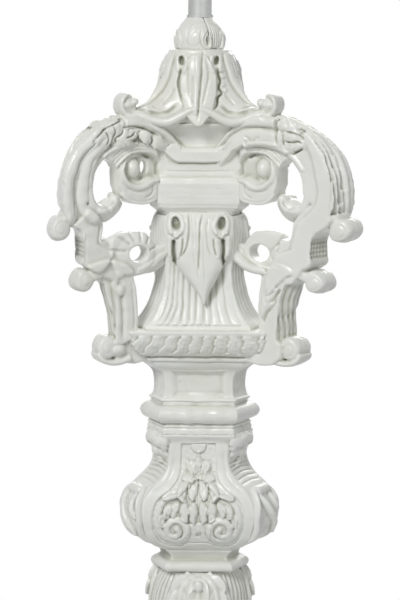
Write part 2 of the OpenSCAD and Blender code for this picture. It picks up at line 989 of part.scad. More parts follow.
module leg_outline() {
    polygon([
        [upright_in - 12, z_knee - 4], [upright_in, z_knee + 2], [upright_out, z_knee - 4],
        [upright_out - 2, z_knee - 22], [upright_in + 6, z_knee - 26], [leg_out + 5, z_knee - 42],
        [leg_out, z_leg], [leg_out, z_core], [leg_out + 16, z_core - 8],
        [leg_out + 8, z_core - 34], [leg_in + 2, z_cornice - 2], [leg_in - 22, z_cornice + 2],
        [leg_in - 22, z_core - 4], [leg_in, z_core - 4], [leg_in, z_leg],
        [leg_in + 2, z_knee - 34], [leg_in + 6, z_knee - 14]
    ]);
}

module lower_curl_outline() {
    translate([upright_out - 4, z_knee - 18])
        circle(r = lower_curl_radius);
}

module leg_curl_outline() {
    translate([leg_out + 13, z_core - 18])
        circle(r = leg_curl_radius);
}

// The arm's board, before it is cut to fit the stack
module arm_board(angle, thickness) {
    difference() {
        union() {
            radial(angle, thickness)
                shoulder_outline();
            radial(angle, thickness)
                band_outline();
            radial(angle, thickness)
                upright_outline();
            radial(angle, thickness)
                outer_curl_outline();
            radial(angle, thickness)
                inner_curl_outline();
            radial(angle, thickness)
                ear_outline();
            radial(angle, thickness)
                leg_outline();
            radial(angle, thickness)
                lower_curl_outline();
            radial(angle, thickness)
                leg_curl_outline();
        }
        radial(angle, thickness + 2)
            translate([ear_out, z_ear])
                circle(r = ear_hole_radius);
    }
}

module arm(angle) {
    color(paint)
        difference() {
            arm_board(angle, arm_thickness);
            core_shape();
            cornice_shape();
            crown_shape();
        }
}

// Volute between the abacus and the shoulder
volute_out = 72;
z_volute = z_shoulder + 1;
volute_eye = 7;
module volute_outline() {
    difference() {
        translate([volute_out, z_volute])
            circle(r = volute_radius);
        translate([volute_out, z_volute])
            circle(r = volute_radius - volute_turn);
    }
    translate([volute_out + volute_radius - volute_turn - volute_eye + 1, z_volute])
        circle(r = volute_eye);
    polygon([[volute_out - 4, z_volute + volute_radius - 3], [volute_out + 14, z_volute + volute_radius - 8],
        [volute_out + 16, z_hollow + hollow_radius + 3], [volute_out - 4, z_hollow + hollow_radius]]);
}

module volute(angle) {
    color(paint)
        difference() {
            radial(angle, volute_thickness)
                volute_outline();
            arm_board(angle, arm_thickness);
            abacus_shape();
        }
}

// ---------------------------------------------------------------- leaf capital and cup

capital_curl_radius = 11;
capital_curl_out = 81;
capital_leaf_thickness = 34;
module leaf_capital() {
    neck = 27;
    color(paint)
        difference() {
            union() {
                at_level(z_capital)
                    turned([[0, 0], [32, 0], [40, 5], [capital_radius - 10, 10], [capital_radius, 18],
                        [capital_radius - 2, 27], [capital_radius - 14, 31], [38, 40], [34, 52],
                        [neck + 1, 65], [neck, capital_height], [0, capital_height]]);
                for (angle = corners)
                    radial(angle, capital_leaf_thickness) {
                        translate([capital_curl_out, z_capital + 22])
                            circle(r = capital_curl_radius);
                        polygon([[30, z_capital + 10], [capital_radius, z_capital + 14],
                            [capital_curl_out - 6, z_capital + 13], [capital_curl_out, z_capital + 33],
                            [capital_radius + 2, z_capital + 31], [36, z_capital + 42]]);
                    }
            }
            rod_hole(z_capital, capital_height);
        }
}

module calyx() {
    neck = tube_diameter / 2 + flange_lip;
    color(paint)
        difference() {
            at_level(z_calyx)
                turned(concat([[0, 0], [calyx_radius - 6, 0]],
                    arc(calyx_radius - 6, 6, 6, -90, 0, 5),
                    [[calyx_radius - 3, calyx_height - 13], [neck + 4, calyx_height - 5],
                        [neck, calyx_height], [0, calyx_height]]));
            rod_hole(z_calyx, calyx_height);
        }
}

// ---------------------------------------------------------------- lamp tube and lampholder

module tube_flange() {
    color(steel)
        at_level(z_flange)
            tube(tube_diameter / 2 + flange_lip, bore_radius, flange_thickness);
}

module stem_tube() {
    color(steel)
        at_level(z_tube)
            tube(tube_diameter / 2, tube_diameter / 2 - tube_wall, tube_length);
}

module tube_cap() {
    color(steel)
        difference() {
            union() {
                at_level(z_tube_cap)
                    cylinder(r = tube_diameter / 2 + flange_lip, h = tube_cap_height);
                at_level(z_tube_cap - 6)
                    cylinder(r = tube_diameter / 2 - tube_wall - screw_clearance, h = 7);
            }
            rod_hole(z_tube_cap - 6, tube_cap_height + 6);
        }
}

// Cap of the lampholder: a threaded collar on the rod and a dome over the terminals
collar_radius = 8;
module holder_cap() {
    color(brass)
        at_level(z_holder)
            difference() {
                union() {
                    cylinder(r = collar_radius, h = holder_thread);
                    at_level(4)
                        cylinder(r1 = collar_radius + 4, r2 = holder_radius, h = holder_cap_height - 14);
                    at_level(holder_cap_height - 10)
                        cylinder(r = holder_radius, h = 10);
                }
                difference() {
                    union() {
                        at_level(4 + holder_wall)
                            cylinder(r1 = collar_radius + 4 - holder_wall, r2 = holder_radius - holder_wall,
                                h = holder_cap_height - 14);
                        at_level(holder_cap_height - 10)
                            cylinder(r = holder_radius - holder_wall, h = 11);
                    }
                    cylinder(r = collar_radius, h = holder_thread);
                }
                at_level(-1)
                    cylinder(r = rod_diameter / 2 + 0.05, h = holder_cap_height);
            }
}

module key_axis() {
    at_level(z_key)
        rotate([0, 90, 0])
            children();
}

module holder_shell() {
    color(brass)
        difference() {
            at_level(z_shell)
                tube(holder_radius, holder_radius - holder_wall, holder_shell_height);
            key_axis()
                cylinder(r = key_shaft_radius + key_gap, h = 2 * holder_radius);
        }
}

core_bore = bulb_cap_radius + 0.6;
core_radius = holder_radius - holder_wall - core_gap;
key_depth = 9;
module holder_core() {
    color(porcelain)
        difference() {
            at_level(z_shell)
                cylinder(r = core_radius, h = holder_shell_height - 4);
            at_level(z_contact)
                cylinder(r = core_bore, h = holder_shell_height);
            key_axis()
                at_level(key_depth)
                    cylinder(r = key_shaft_radius + key_gap, h = holder_radius);
        }
}

module centre_contact() {
    color(brass)
        at_level(z_contact)
            cylinder(r = 5, h = contact_height);
}

contact_width = 5;
contact_thickness = 0.5;
module side_contacts() {
    color(brass)
        intersection() {
            at_level(z_contact)
                tube(core_bore - key_gap, core_bore - contact_thickness, 14);
            translate([-20, -contact_width / 2, z_contact])
                cube([40, contact_width, 14]);
        }
}

module shade_rings() {
    color(plastic)
        for (z = [z_shade_ring, z_carrier + carrier_thickness])
            at_level(z)
                tube(shade_ring_radius, holder_radius + 0.05, shade_ring_height);
}

key_shaft_length = 24;
key_thickness = 4;
key_width = 11;
module switch_key() {
    color(plastic)
        key_axis() {
            at_level(key_depth + 0.5)
                cylinder(r = key_shaft_radius, h = key_shaft_length);
            intersection() {
                at_level(key_depth + key_shaft_length - 6)
                    cylinder(r = key_width / 2, h = key_wing);
                translate([-key_width, -key_thickness / 2, key_depth + key_shaft_length - 6])
                    cube([2 * key_width, key_thickness, key_wing]);
            }
        }
}

// ---------------------------------------------------------------- bulb

module bulb_cap() {
    color(steel)
        at_level(z_bulb_cap)
            cylinder(r = bulb_cap_radius, h = bulb_cap_height);
}

module bulb_contact() {
    color(brass)
        at_level(z_bulb_contact)
            cylinder(r = 4.5, h = bulb_contact_height);
}

module glass_shape(inset) {
    z_ball = z_glass + glass_neck;
    union() {
        at_level(z_glass)
            cylinder(r1 = bulb_cap_radius - inset, r2 = glass_radius * 0.94 - inset, h = glass_neck - 10);
        at_level(z_ball)
            sphere(r = glass_radius - inset);
    }
}

module bulb_glass() {
    color(glass)
        difference() {
            glass_shape(0);
            difference() {
                glass_shape(glass_wall);
                at_level(z_glass)
                    cylinder(r = glass_radius, h = glass_wall);
            }
        }
}

// ---------------------------------------------------------------- shade

lower_wire_ring = shade_bottom_radius - skin_slope * wire_drop - wire_inset;
upper_wire_ring = shade_top_radius + skin_slope * wire_drop - wire_inset;
spoke_count = 3;
spoke_radius = 2;
module shade_carrier() {
    start = shade_ring_radius - 2;
    run = lower_wire_ring - start;
    drop = carrier_rise;
    color(steel)
        difference() {
            union() {
                at_level(z_carrier)
                    tube(shade_ring_radius + 3, holder_radius + 0.5, carrier_thickness);
                for (i = [0:spoke_count - 1])
                    rotate([0, 0, 30 + 360 * i / spoke_count])
                        translate([start, 0, z_carrier + carrier_thickness / 2])
                            rotate([0, 90 + atan(drop / run), 0])
                                cylinder(r = spoke_radius, h = sqrt(run * run + drop * drop), $fn = 24);
            }
            at_level(z_lower_wire)
                ring_wire(lower_wire_ring, shade_wire_radius);
            for (z = [z_shade_ring, z_carrier + carrier_thickness])
                at_level(z)
                    cylinder(r = shade_ring_radius, h = shade_ring_height);
        }
}

module shade_top_ring() {
    color(steel)
        at_level(z_upper_wire)
            ring_wire(upper_wire_ring, shade_wire_radius);
}

module shade_bottom_ring() {
    color(steel)
        at_level(z_lower_wire)
            ring_wire(lower_wire_ring, shade_wire_radius);
}

module shade_skin() {
    color(cloth)
        at_level(z_shade)
            turned([[shade_bottom_radius - shade_skin_thickness, 0], [shade_bottom_radius, 0],
                [shade_top_radius, shade_height], [shade_top_radius - shade_skin_thickness, shade_height]]);
}

base_body();
base_cover();
cover_screws();
ballast();
glides();
foot(right_corner);  // foot_right
foot(left_corner);  // foot_left
foot(back_corner);  // foot_back
foot_screws();
cord_gland();
gland_nut();
terminal_block();
inner_lead();
threaded_rod();
rod_nut();
rod_washer();
lock_nut();
base_ring();
baluster();
knop_ring();
leaf_bulb();
lower_ring();
vase();
vase_panels();
corner_leaves();
collar();
waist_block();
cornice();
bell_core();
hanging_leaves();
abacus();
crown_block();
arm(right_corner);  // arm_right
arm(left_corner);  // arm_left
arm(back_corner);  // arm_back
volute(right_corner);  // volute_right
volute(left_corner);  // volute_left
volute(back_corner);  // volute_back
leaf_capital();
calyx();
tube_flange();
stem_tube();
tube_cap();
holder_cap();
holder_shell();
holder_core();
centre_contact();
side_contacts();
shade_rings();
switch_key();
bulb_cap();
bulb_contact();
bulb_glass();
shade_carrier();
shade_top_ring();
shade_bottom_ring();
shade_skin();
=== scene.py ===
"""Looks of a floor lamp made from a three-sided carved candlestick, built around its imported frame."""

import logging
import math
from dataclasses import dataclass, field
from enum import Enum
from typing import Callable, Iterable, Sequence

import bpy
import numpy as np
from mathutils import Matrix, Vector


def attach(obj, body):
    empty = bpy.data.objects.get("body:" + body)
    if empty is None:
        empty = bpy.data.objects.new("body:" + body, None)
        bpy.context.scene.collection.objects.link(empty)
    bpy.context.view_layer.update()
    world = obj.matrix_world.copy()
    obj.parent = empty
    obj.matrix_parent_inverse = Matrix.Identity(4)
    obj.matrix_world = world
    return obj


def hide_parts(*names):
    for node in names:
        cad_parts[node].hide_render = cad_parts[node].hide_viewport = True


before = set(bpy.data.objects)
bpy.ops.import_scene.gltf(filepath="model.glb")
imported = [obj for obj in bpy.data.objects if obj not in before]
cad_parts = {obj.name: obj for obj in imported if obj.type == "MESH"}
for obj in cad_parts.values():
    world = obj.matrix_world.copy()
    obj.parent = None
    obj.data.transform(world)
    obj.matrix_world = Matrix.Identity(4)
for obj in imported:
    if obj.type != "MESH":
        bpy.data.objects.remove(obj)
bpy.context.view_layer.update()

log = logging.getLogger("lamp")
MM = 0.001
Points = Sequence[tuple[float, ...]]
Shape = Callable[[np.ndarray, np.ndarray], np.ndarray]
Triple = tuple[float, float, float]
Obj = bpy.types.Object
Mat = bpy.types.Material
Socket = bpy.types.NodeSocket
SIDES = (-90.0, 30.0, 150.0)
CORNERS = {"right": -30.0, "left": 210.0, "back": 90.0}
THIRDS = (0, 120, 240)
# Distance of a wide side from the axis, as a share of its width and its two cut corners together.
SIDE_OUT = 0.288675
COS_30 = 0.866
# Depth of a hollow, in millimetres, that counts as one on the scale of the "hollow" attribute, which the
# paint turns into painted shade.
DEEP = 2.7
# Waves that make a surface uneven: direction, share of the height and share of the length.
WAVES = (
    ((0.9, 0.3, 0.5), 1.0, 1.0),
    ((-0.4, 0.8, 0.6), 1.0, 0.83),
    ((0.2, -0.5, 1.0), 0.8, 0.61),
    ((0.7, -0.6, 0.3), 0.28, 0.45),
    ((0.3, 0.7, -0.8), 0.22, 0.37),
)
PAINT = "paint"
PAINTED_WOOD = "painted_wood"


# ---------------------------------------------------------------- drawing in numbers


def smooth_path(points: Points, per_span: int = 8) -> np.ndarray:
    """Smooth line through points.

    Args:
        points: control points of any dimension.
        per_span: points made for each span.

    Returns:
        The points of the line, one row each.
    """
    p = np.asarray(points, float)
    p = np.vstack([2 * p[0] - p[1], p, 2 * p[-1] - p[-2]])
    t = np.linspace(0, 1, per_span, endpoint=False)[:, None]
    spans = [
        0.5 * (2 * b + (c - a) * t + (2 * a - 5 * b + 4 * c - d) * t**2 + (3 * b - a - 3 * c + d) * t**3)
        for a, b, c, d in zip(p[:-3], p[1:-2], p[2:-1], p[3:])
    ]
    return np.vstack(spans + [p[-2][None]])


def cos_sin(angle: float) -> tuple[float, float]:
    """Cosine and sine of an angle in degrees."""
    return math.cos(math.radians(angle)), math.sin(math.radians(angle))


def heading(at: np.ndarray) -> np.ndarray:
    """Direction of each point from the lamp's axis, in degrees."""
    return np.degrees(np.arctan2(at[:, 1], at[:, 0]))


def step(x: np.ndarray) -> np.ndarray:
    """Smooth rise from 0 to 1 as x goes from 0 to 1."""
    x = np.clip(x, 0, 1)
    return x * x * (3 - 2 * x)


def to_line(at: np.ndarray, line: np.ndarray) -> tuple[np.ndarray, np.ndarray, np.ndarray]:
    """Nearest place on a flat line for each point.

    Args:
        at: points, [n, 2].
        line: points of the line, [m, 2].

    Returns:
        Distance to the line, length along it, and the side (positive to the left of its direction).
    """
    a, b = line[:-1], line[1:]
    d = b - a
    size = np.maximum((d * d).sum(1), 1e-12)
    before = np.concatenate([[0], np.cumsum(np.sqrt(size))])[:-1]
    best = np.full(len(at), 1e9)
    along = np.zeros(len(at))
    side = np.ones(len(at))
    for k in range(len(a)):
        w = at - a[k]
        u = np.clip((w @ d[k]) / size[k], 0, 1)
        gap = w - u[:, None] * d[k]
        far = np.hypot(gap[:, 0], gap[:, 1])
        near = far < best
        best = np.where(near, far, best)
        along = np.where(near, before[k] + u * math.sqrt(size[k]), along)
        side = np.where(near, np.sign(d[k][0] * w[:, 1] - d[k][1] * w[:, 0]), side)
    return best, along, side


def inside(at: np.ndarray, outline: np.ndarray) -> np.ndarray:
    """Whether each point is inside a closed outline.

    Args:
        at: points, [n, 2].
        outline: its corners, [m, 2].

    Returns:
        One truth value for each point.
    """
    hit = np.zeros(len(at), bool)
    x, y = at[:, 0], at[:, 1]
    for (x0, y0), (x1, y1) in zip(outline, np.roll(outline, -1, 0)):
        if y0 != y1:
            hit ^= ((y0 > y) != (y1 > y)) & (x < (x1 - x0) * (y - y0) / (y1 - y0) + x0)
    return hit


def length_of(line: np.ndarray) -> float:
    """Length of a line of points."""
    return float(np.sqrt(((line[1:] - line[:-1]) ** 2).sum(1)).sum())


@dataclass
class Chart:
    """A flat drawing board laid on a surface: strokes raise or cut it.

    Args:
        at: place of each vertex on the board, [n, 2].
        height: height of the surface at each vertex.
    """

    at: np.ndarray
    height: np.ndarray

    def _reach(self, line: np.ndarray, wide: float) -> np.ndarray:
        """Indices of the vertices within reach of a line."""
        low, high = line.min(0) - wide, line.max(0) + wide
        return np.nonzero(((self.at > low) & (self.at < high)).all(1))[0]

    def bead(self, points: Points, wide: float, high: float, taper: tuple[float, float] = (1, 1),
             base: float | None = None) -> None:
        """Half-round band along a line.

        Args:
            points: control points of its centre line.
            wide: its half width.
            high: how far its crown stands above what is there, or above base.
            taper: share of the width at its two ends.
            base: level that it rises from; what is there if None.
        """
        line = smooth_path(points)
        k = self._reach(line, wide)
        d, s, _ = to_line(self.at[k], line)
        t = s / length_of(line)
        w = wide * (taper[0] + (1 - taper[0]) * step(t * 4)) * (taper[1] + (1 - taper[1]) * step((1 - t) * 4))
        rise = np.sqrt(np.clip(1 - (d / w) ** 2, 0, 1)) * high * np.minimum(1, w / wide + 0.2)
        start = self.height[k] if base is None else np.full(len(k), base)
        self.height[k] = np.where(rise > 0, np.maximum(self.height[k], start + rise), self.height[k])

    def cut(self, points: Points, wide: float, deep: float, fade: bool = True, smooth: bool = True) -> None:
        """Groove along a line.

        Args:
            points: control points of the line.
            wide: half width.
            deep: depth.
            fade: whether it fades out at its ends.
            smooth: whether the line is a smooth one.
        """
        line = smooth_path(points) if smooth else np.asarray(points, float)
        k = self._reach(line, wide)
        d, s, _ = to_line(self.at[k], line)
        t = s / max(length_of(line), 1e-6)
        run = np.minimum(step(t * 5 + 0.25), step((1 - t) * 5 + 0.25)) if fade else 1.0
        self.height[k] -= deep * run * (1 - step(d / wide))

    def lift(self, outline: Points, high: float, soft: float = 1.2, smooth: bool = True) -> None:
        """Raises, or with a negative height sinks, what is inside an outline.

        Args:
            outline: its corners.
            high: height.
            soft: width of the slope at its edge.
            smooth: whether the outline is a smooth one.
        """
        ring = smooth_path([*outline, outline[0]], 6) if smooth else np.asarray([*outline, outline[0]], float)
        k = self._reach(ring, soft)
        d, _, _ = to_line(self.at[k], ring)
        d = np.where(inside(self.at[k], ring[:-1]), d, -d)
        self.height[k] += high * step(0.5 + d / (2 * soft))

    def dome(self, centre: tuple[float, float], radius: float, high: float, squash: float = 1.0,
             turn: float = 0.0) -> None:
        """Round or oval boss, or with a negative height a bowl.

        Args:
            centre: its place.
            radius: its radius.
            high: its height.
            squash: share of the radius across.
            turn: its turn in degrees.
        """
        q = self.at - np.asarray(centre)
        c, s = cos_sin(turn)
        u, v = q[:, 0] * c + q[:, 1] * s, (-q[:, 0] * s + q[:, 1] * c) / squash
        d = np.hypot(u, v) / radius
        self.height += high * np.sqrt(np.clip(1 - d * d, 0, 1))

    def frond(self, points: Points, wide: float, high: float, lobes: float = 3, notch: float = 0.4,
              vein: float = 0.7) -> None:
        """Carved leaf laid on the board.

        Args:
            points: control points of its midrib, from stalk to tip.
            wide: its half width.
            high: how far it stands up.
            lobes: lobes along each margin.
            notch: depth of the notches between them, as a share of the width.
            vein: depth of the midrib and of the veins.
        """
        line = smooth_path(points)
        k = self._reach(line, wide)
        d, s, _ = to_line(self.at[k], line)
        t = np.clip(s / length_of(line), 0, 1)
        phase = (t * lobes - 0.45 * d / wide) % 1.0
        w = wide * np.sin(np.pi * t**0.8) ** 0.6 * (1 - notch * (2 * abs(phase - 0.5)) ** 3) + 1e-3
        rise = high * np.sqrt(np.clip(1 - (d / w) ** 2, 0, 1))
        rise -= vein * np.exp(-((d / (0.13 * wide + 0.3)) ** 2)) * (d < w)
        rise -= 0.8 * vein * np.exp(-((np.minimum(phase, 1 - phase) / 0.1) ** 2)) * np.clip(d / w, 0,
            1) * (d < w)
        self.height[k] += np.maximum(rise, -0.4)

    def mirrored(self) -> "Chart":
        """The same board turned over left to right; strokes on it are shared with this one."""
        return Chart(self.at * (-1, 1), self.height)


# ---------------------------------------------------------------- modelling


def deselect() -> None:
    """Leaves object mode with nothing selected."""
    if bpy.context.object and bpy.context.object.mode != "OBJECT":
        bpy.ops.object.mode_set(mode="OBJECT")
    bpy.ops.object.select_all(action="DESELECT")


def take(obj: Obj) -> Obj:
    """Selects one object and makes it the active one.

    Args:
        obj: the object.

    Returns:
        The same object.
    """
    deselect()
    obj.select_set(True)
    bpy.context.view_layer.objects.active = obj
    return obj


def points_of(obj: Obj) -> np.ndarray:
    """Vertices in millimetres.

    Args:
        obj: the object.

    Returns:
        Their places, [n, 3].
    """
    co = np.empty(len(obj.data.vertices) * 3, np.float64)
    obj.data.vertices.foreach_get("co", co)
    return co.reshape(-1, 3) / MM


def place_points(obj: Obj, at: np.ndarray) -> None:
    """Puts the vertices at places in millimetres."""
    obj.data.vertices.foreach_set("co", (np.asarray(at, float) * MM).ravel())
    obj.data.update()


def normals_of(obj: Obj) -> np.ndarray:
    """Vertex normals.

    Args:
        obj: the object.

    Returns:
        The normals, [n, 3].
    """
    n = np.empty(len(obj.data.vertices) * 3, np.float64)
    obj.data.vertices.foreach_get("normal", n)
    return n.reshape(-1, 3)


def skin(rows: np.ndarray) -> Obj:
    """Grid primitive whose vertices are laid on a table of points.

    Args:
        rows: points in millimetres, [n, m, 3]. Neighbours in both directions are joined.

    Returns:
        The new object.
    """
    n, m = rows.shape[:2]
    deselect()
    bpy.ops.mesh.primitive_grid_add(x_subdivisions=m - 1, y_subdivisions=n - 1, size=1)
    obj = bpy.context.object
    place_points(obj, rows.reshape(-1, 3))
    return obj


def capped(rings: np.ndarray) -> Obj:
    """Skin over closed rings whose ends are drawn to their middles.

    Args:
        rings: points in millimetres, [n, m, 3].

    Returns:
        The new object.
    """
    ends = [np.repeat(rings[i].mean(0)[None, None], rings.shape[1], 1) for i in (0, -1)]
    return skin(np.concatenate([ends[0], rings, ends[1]]))


def slab(outline: np.ndarray, low: float, high: float, axis: int = 1) -> Obj:
    """Flat outline drawn as a filled ring and extruded.

    Args:
        outline: corners in millimetres, [n, 2], in the two other axes.
        low: where the slab starts along axis.
        high: where it ends.
        axis: 1 for an outline in distance and height, 2 for one in plan.

    Returns:
        The new object.
    """
    deselect()
    bpy.ops.mesh.primitive_circle_add(vertices=len(outline), radius=1, fill_type="NGON")
    obj = bpy.context.object
    flat = np.insert(np.asarray(outline, float), axis, low, axis=1)
    place_points(obj, flat)
    bpy.ops.object.mode_set(mode="EDIT")
    bpy.ops.mesh.select_all(action="SELECT")
    move = [0.0, 0.0, 0.0]
    move[axis] = (high - low) * MM
    bpy.ops.mesh.extrude_region_move(TRANSFORM_OT_translate={"value": move})
    bpy.ops.object.mode_set(mode="OBJECT")
    return obj


def frames(path: np.ndarray, up: np.ndarray) -> tuple[np.ndarray, np.ndarray, np.ndarray]:
    """Directions along a path in space.

    Args:
        path: points of the path, [n, 3].
        up: hint for the up direction, one for all or one for each point.

    Returns:
        Forward, side and up directions.
    """
    forward = np.gradient(path, axis=0)
    forward /= np.linalg.norm(forward, axis=1)[:, None] + 1e-12
    up = np.broadcast_to(np.asarray(up, float), path.shape)
    side = np.cross(forward, up)
    side /= np.linalg.norm(side, axis=1)[:, None] + 1e-12
    return forward, side, np.cross(side, forward)


def rod(points: Points, thick: Points | float, wide: Points | float, across: Points = (0, 1, 0),
        power: float = 1.0) -> Obj:
    """Round or flattened rod along a smooth path.

    Args:
        points: control points of the path, in millimetres.
        thick: half thickness at each control point, or one for all.
        wide: half width, measured along across, at each control point or one for all.
        across: direction that the width is measured in.
        power: 1 for an oval section, less for one nearer a rectangle.

    Returns:
        The new object.
    """
    path = smooth_path(points, 6)
    halves = [smooth_path(np.broadcast_to(np.asarray(v, float), len(points))[:, None], 6)[:, 0]
              for v in (thick, wide)]
    _, side, high = frames(path, np.asarray(across, float))
    a = np.linspace(0, 2 * np.pi, 21)
    c, s = np.cos(a), np.sin(a)
    c, s = np.sign(c) * abs(c) ** power, np.sign(s) * abs(s) ** power
    ring = side[:, None] * (c[None] * halves[0][:, None])[..., None]
    ring = ring + high[:, None] * (s[None] * halves[1][:, None])[..., None]
    ends = [np.repeat(path[i][None, None], 21, 1) for i in (0, -1)]
    return skin(np.concatenate([ends[0], path[:, None] + ring, ends[1]]))


def ball(centre: Sequence[float], size: Sequence[float] | float, turn: float = 0.0) -> Obj:
    """Ball or egg.

    Args:
        centre: its middle, in millimetres.
        size: radius or three radii.
        turn: its turn about Y, in degrees.

    Returns:
        The new object.
    """
    deselect()
    bpy.ops.mesh.primitive_uv_sphere_add(segments=24, ring_count=14, radius=1)
    obj = bpy.context.object
    at = points_of(obj) * MM * np.broadcast_to(np.asarray(size, float), 3)
    c, s = cos_sin(turn)
    at = at @ np.array([[c, 0, -s], [0, 1, 0], [s, 0, c]])
    place_points(obj, at + np.asarray(centre, float))
    return obj


@dataclass(frozen=True)
class LeafCut:
    """How a carved leaf is cut.

    Args:
        lobes: lobes along each margin.
        depth: how deep the notches between the lobes are, as a share of the width.
        cup: how far the margins stand above the middle, in millimetres.
        rib: height of the midrib.
        veins: depth of the veins that run to the notches.
        thick: thickness of the leaf.
        slant: how far the lobes lean forward.
    """

    lobes: float = 4
    depth: float = 0.25
    cup: float = 2.0
    rib: float = 1.0
    veins: float = 0.8
    thick: float = 4.0
    slant: float = 0.35


def leaf(points: Points, wide: Sequence[float], up: Points, cut: LeafCut = LeafCut()) -> Obj:
    """Carved leaf along a smooth path, with lobed margins, a midrib and veins.

    Args:
        points: control points of its midrib, in millimetres.
        wide: half width at each control point.
        up: direction that its face looks in, one for all or one for each control point.
        cut: how it is carved.

    Returns:
        The new object.
    """
    path = smooth_path(points, 10)
    w = np.maximum(smooth_path([[v] for v in wide], 10)[:, 0], 0.3)
    up = np.asarray(up, float)
    hint = up if up.ndim == 1 else smooth_path(up, 10)
    _, side, high = frames(path, hint)
    t = np.linspace(0, 1, len(path))[:, None]
    u = np.linspace(-1, 1, 25)[None, :]
    phase = (t * cut.lobes - cut.slant * abs(u)) % 1.0
    notch = cut.depth * (np.clip(abs(phase - 0.5) * 2, 0, 1) ** 3) * np.clip(abs(u) * 1.4 - 0.2, 0, 1)
    reach = u * w[:, None] * (1 - notch)
    scale = (w / w.max())[:, None]
    vein = np.exp(-((np.minimum(phase, 1 - phase) / 0.13) ** 2)) * abs(u) ** 0.5
    lift = scale * (cut.cup * u**2 - cut.veins * vein)
    lift = lift + scale * cut.rib * np.exp(-((u / 0.13) ** 2))
    lift = lift - scale * 0.6 * cut.rib * np.exp(-(((abs(u) - 0.3) / 0.1) ** 2))
    top = path[:, None] + side[:, None] * reach[..., None] + high[:, None] * lift[..., None]
    low = top - high[:, None] * (cut.thick * (1 - 0.55 * u**2) * np.maximum(scale, 0.35))[..., None]
    ring = np.concatenate([top, low[:, ::-1], top[:, :1]], axis=1)
    return capped(ring)


def turned(profile: Points, around: int = 96) -> Obj:
    """Turned solid.

    Args:
        profile: rows of [distance, height] that start and end on the axis.
        around: faces around it.

    Returns:
        The new object.
    """
    p = np.asarray(profile, float)
    a = np.linspace(0, 2 * np.pi, around + 1)
    rows = np.stack([p[:, :1] * np.cos(a), p[:, :1] * np.sin(a), np.repeat(p[:, 1:], around + 1, 1)], axis=2)
    return skin(rows)


def moulding(rows: Points) -> Obj:
    """Six-sided solid with three wide sides and three cut corners.

    Args:
        rows: rings from the bottom up, each its height, its wide side and its cut corner.

    Returns:
        The new object, closed above and below.
    """
    rings = []
    for height, wide, cut in np.asarray(rows, float):
        out = (wide + 2 * cut) * SIDE_OUT
        ring = []
        for angle in SIDES:
            c, s = cos_sin(angle)
            ring += [(out * c - u * s, out * s + u * c, height) for u in np.linspace(-wide / 2, wide / 2, 5)]
        rings.append(ring + ring[:1])
    table = np.asarray(rings)
    caps = [np.repeat([[(0, 0, table[i, 0, 2])]], table.shape[1], 1) for i in (0, -1)]
    return skin(np.concatenate([caps[0], table, caps[1]]))


def half_round(height: float, wide: float, cut: float, tall: float, share: float = 1.0) -> np.ndarray:
    """Rows of a half-round moulding on a ring.

    Args:
        height: where it starts.
        wide: wide side of the ring.
        cut: cut corner of the ring.
        tall: height of the moulding.
        share: how far it stands out, as a share of a true half circle.

    Returns:
        Its rows, for moulding().
    """
    a = np.linspace(-np.pi / 2, np.pi / 2, 9)
    out = np.cos(a) * tall / 2 * share
    return np.column_stack([height + tall / 2 + tall / 2 * np.sin(a), wide + 1.15 * out, cut + 1.15 * out])


def carve(obj: Obj, angles: Sequence[float], shape: Shape, reach: float = 60.0) -> Obj:
    """Carves the same thing in several directions around the lamp's axis.

    Args:
        obj: the piece.
        angles: directions from the axis, in degrees.
        shape: gets points as [distance out, to the side, height] and their normals, returns new points.
        reach: how far to each side of a direction the carving goes, in degrees.

    Returns:
        The same object.
    """
    at, normals = points_of(obj), normals_of(obj)
    facing = heading(at)
    for angle in angles:
        off = (facing - angle + 180) % 360 - 180
        k = np.nonzero((off > -reach) & (off <= reach))[0]
        c, s = cos_sin(angle)
        turn = np.array([[c, -s, 0], [s, c, 0], [0, 0, 1]])
        at[k] = shape(at[k] @ turn, normals[k] @ turn) @ turn.T
    place_points(obj, at)
    return obj


def drawn(draw: Callable[[Chart], None], least: float = 0.1) -> Shape:
    """Shape for carve() from a drawing on a flat board that faces outwards.

    Args:
        draw: draws on the board, whose place is distance to the side and height.
        least: how far a surface must face outwards to be carved.

    Returns:
        The shape.
    """
    def shape(at: np.ndarray, normals: np.ndarray) -> np.ndarray:
        """Moves points outwards by the drawing."""
        chart = Chart(at[:, 1:], np.zeros(len(at)))
        draw(chart)
        at = at.copy()
        at[:, 0] += chart.height * step((normals[:, 0] - least) / 0.3)
        return at
    return shape


def drawn_round(draw: Callable[[Chart], None], radius: float) -> Shape:
    """Shape for carve() on a turned piece: the board is wrapped around it.

    Args:
        draw: draws on the board, whose place is length around and height.
        radius: radius at which lengths around are true.

    Returns:
        The shape, which moves points along their normals.
    """
    def shape(at: np.ndarray, normals: np.ndarray) -> np.ndarray:
        """Moves points along their normals by the drawing."""
        chart = Chart(np.column_stack([radius * np.arctan2(at[:, 1], at[:, 0]), at[:, 2]]), np.zeros(len(at)))
        draw(chart)
        return at + normals * chart.height[:, None]
    return shape


def merged(name: str, parts: Sequence[Obj]) -> Obj:
    """Joins parts into one object.

    Args:
        name: name of the object and its mesh.
        parts: the parts.

    Returns:
        The object.
    """
    take(parts[0])
    for part in parts:
        part.select_set(True)
    if len(parts) > 1:
        bpy.ops.object.join()
    obj = bpy.context.object
    obj.name = obj.data.name = name
    return obj


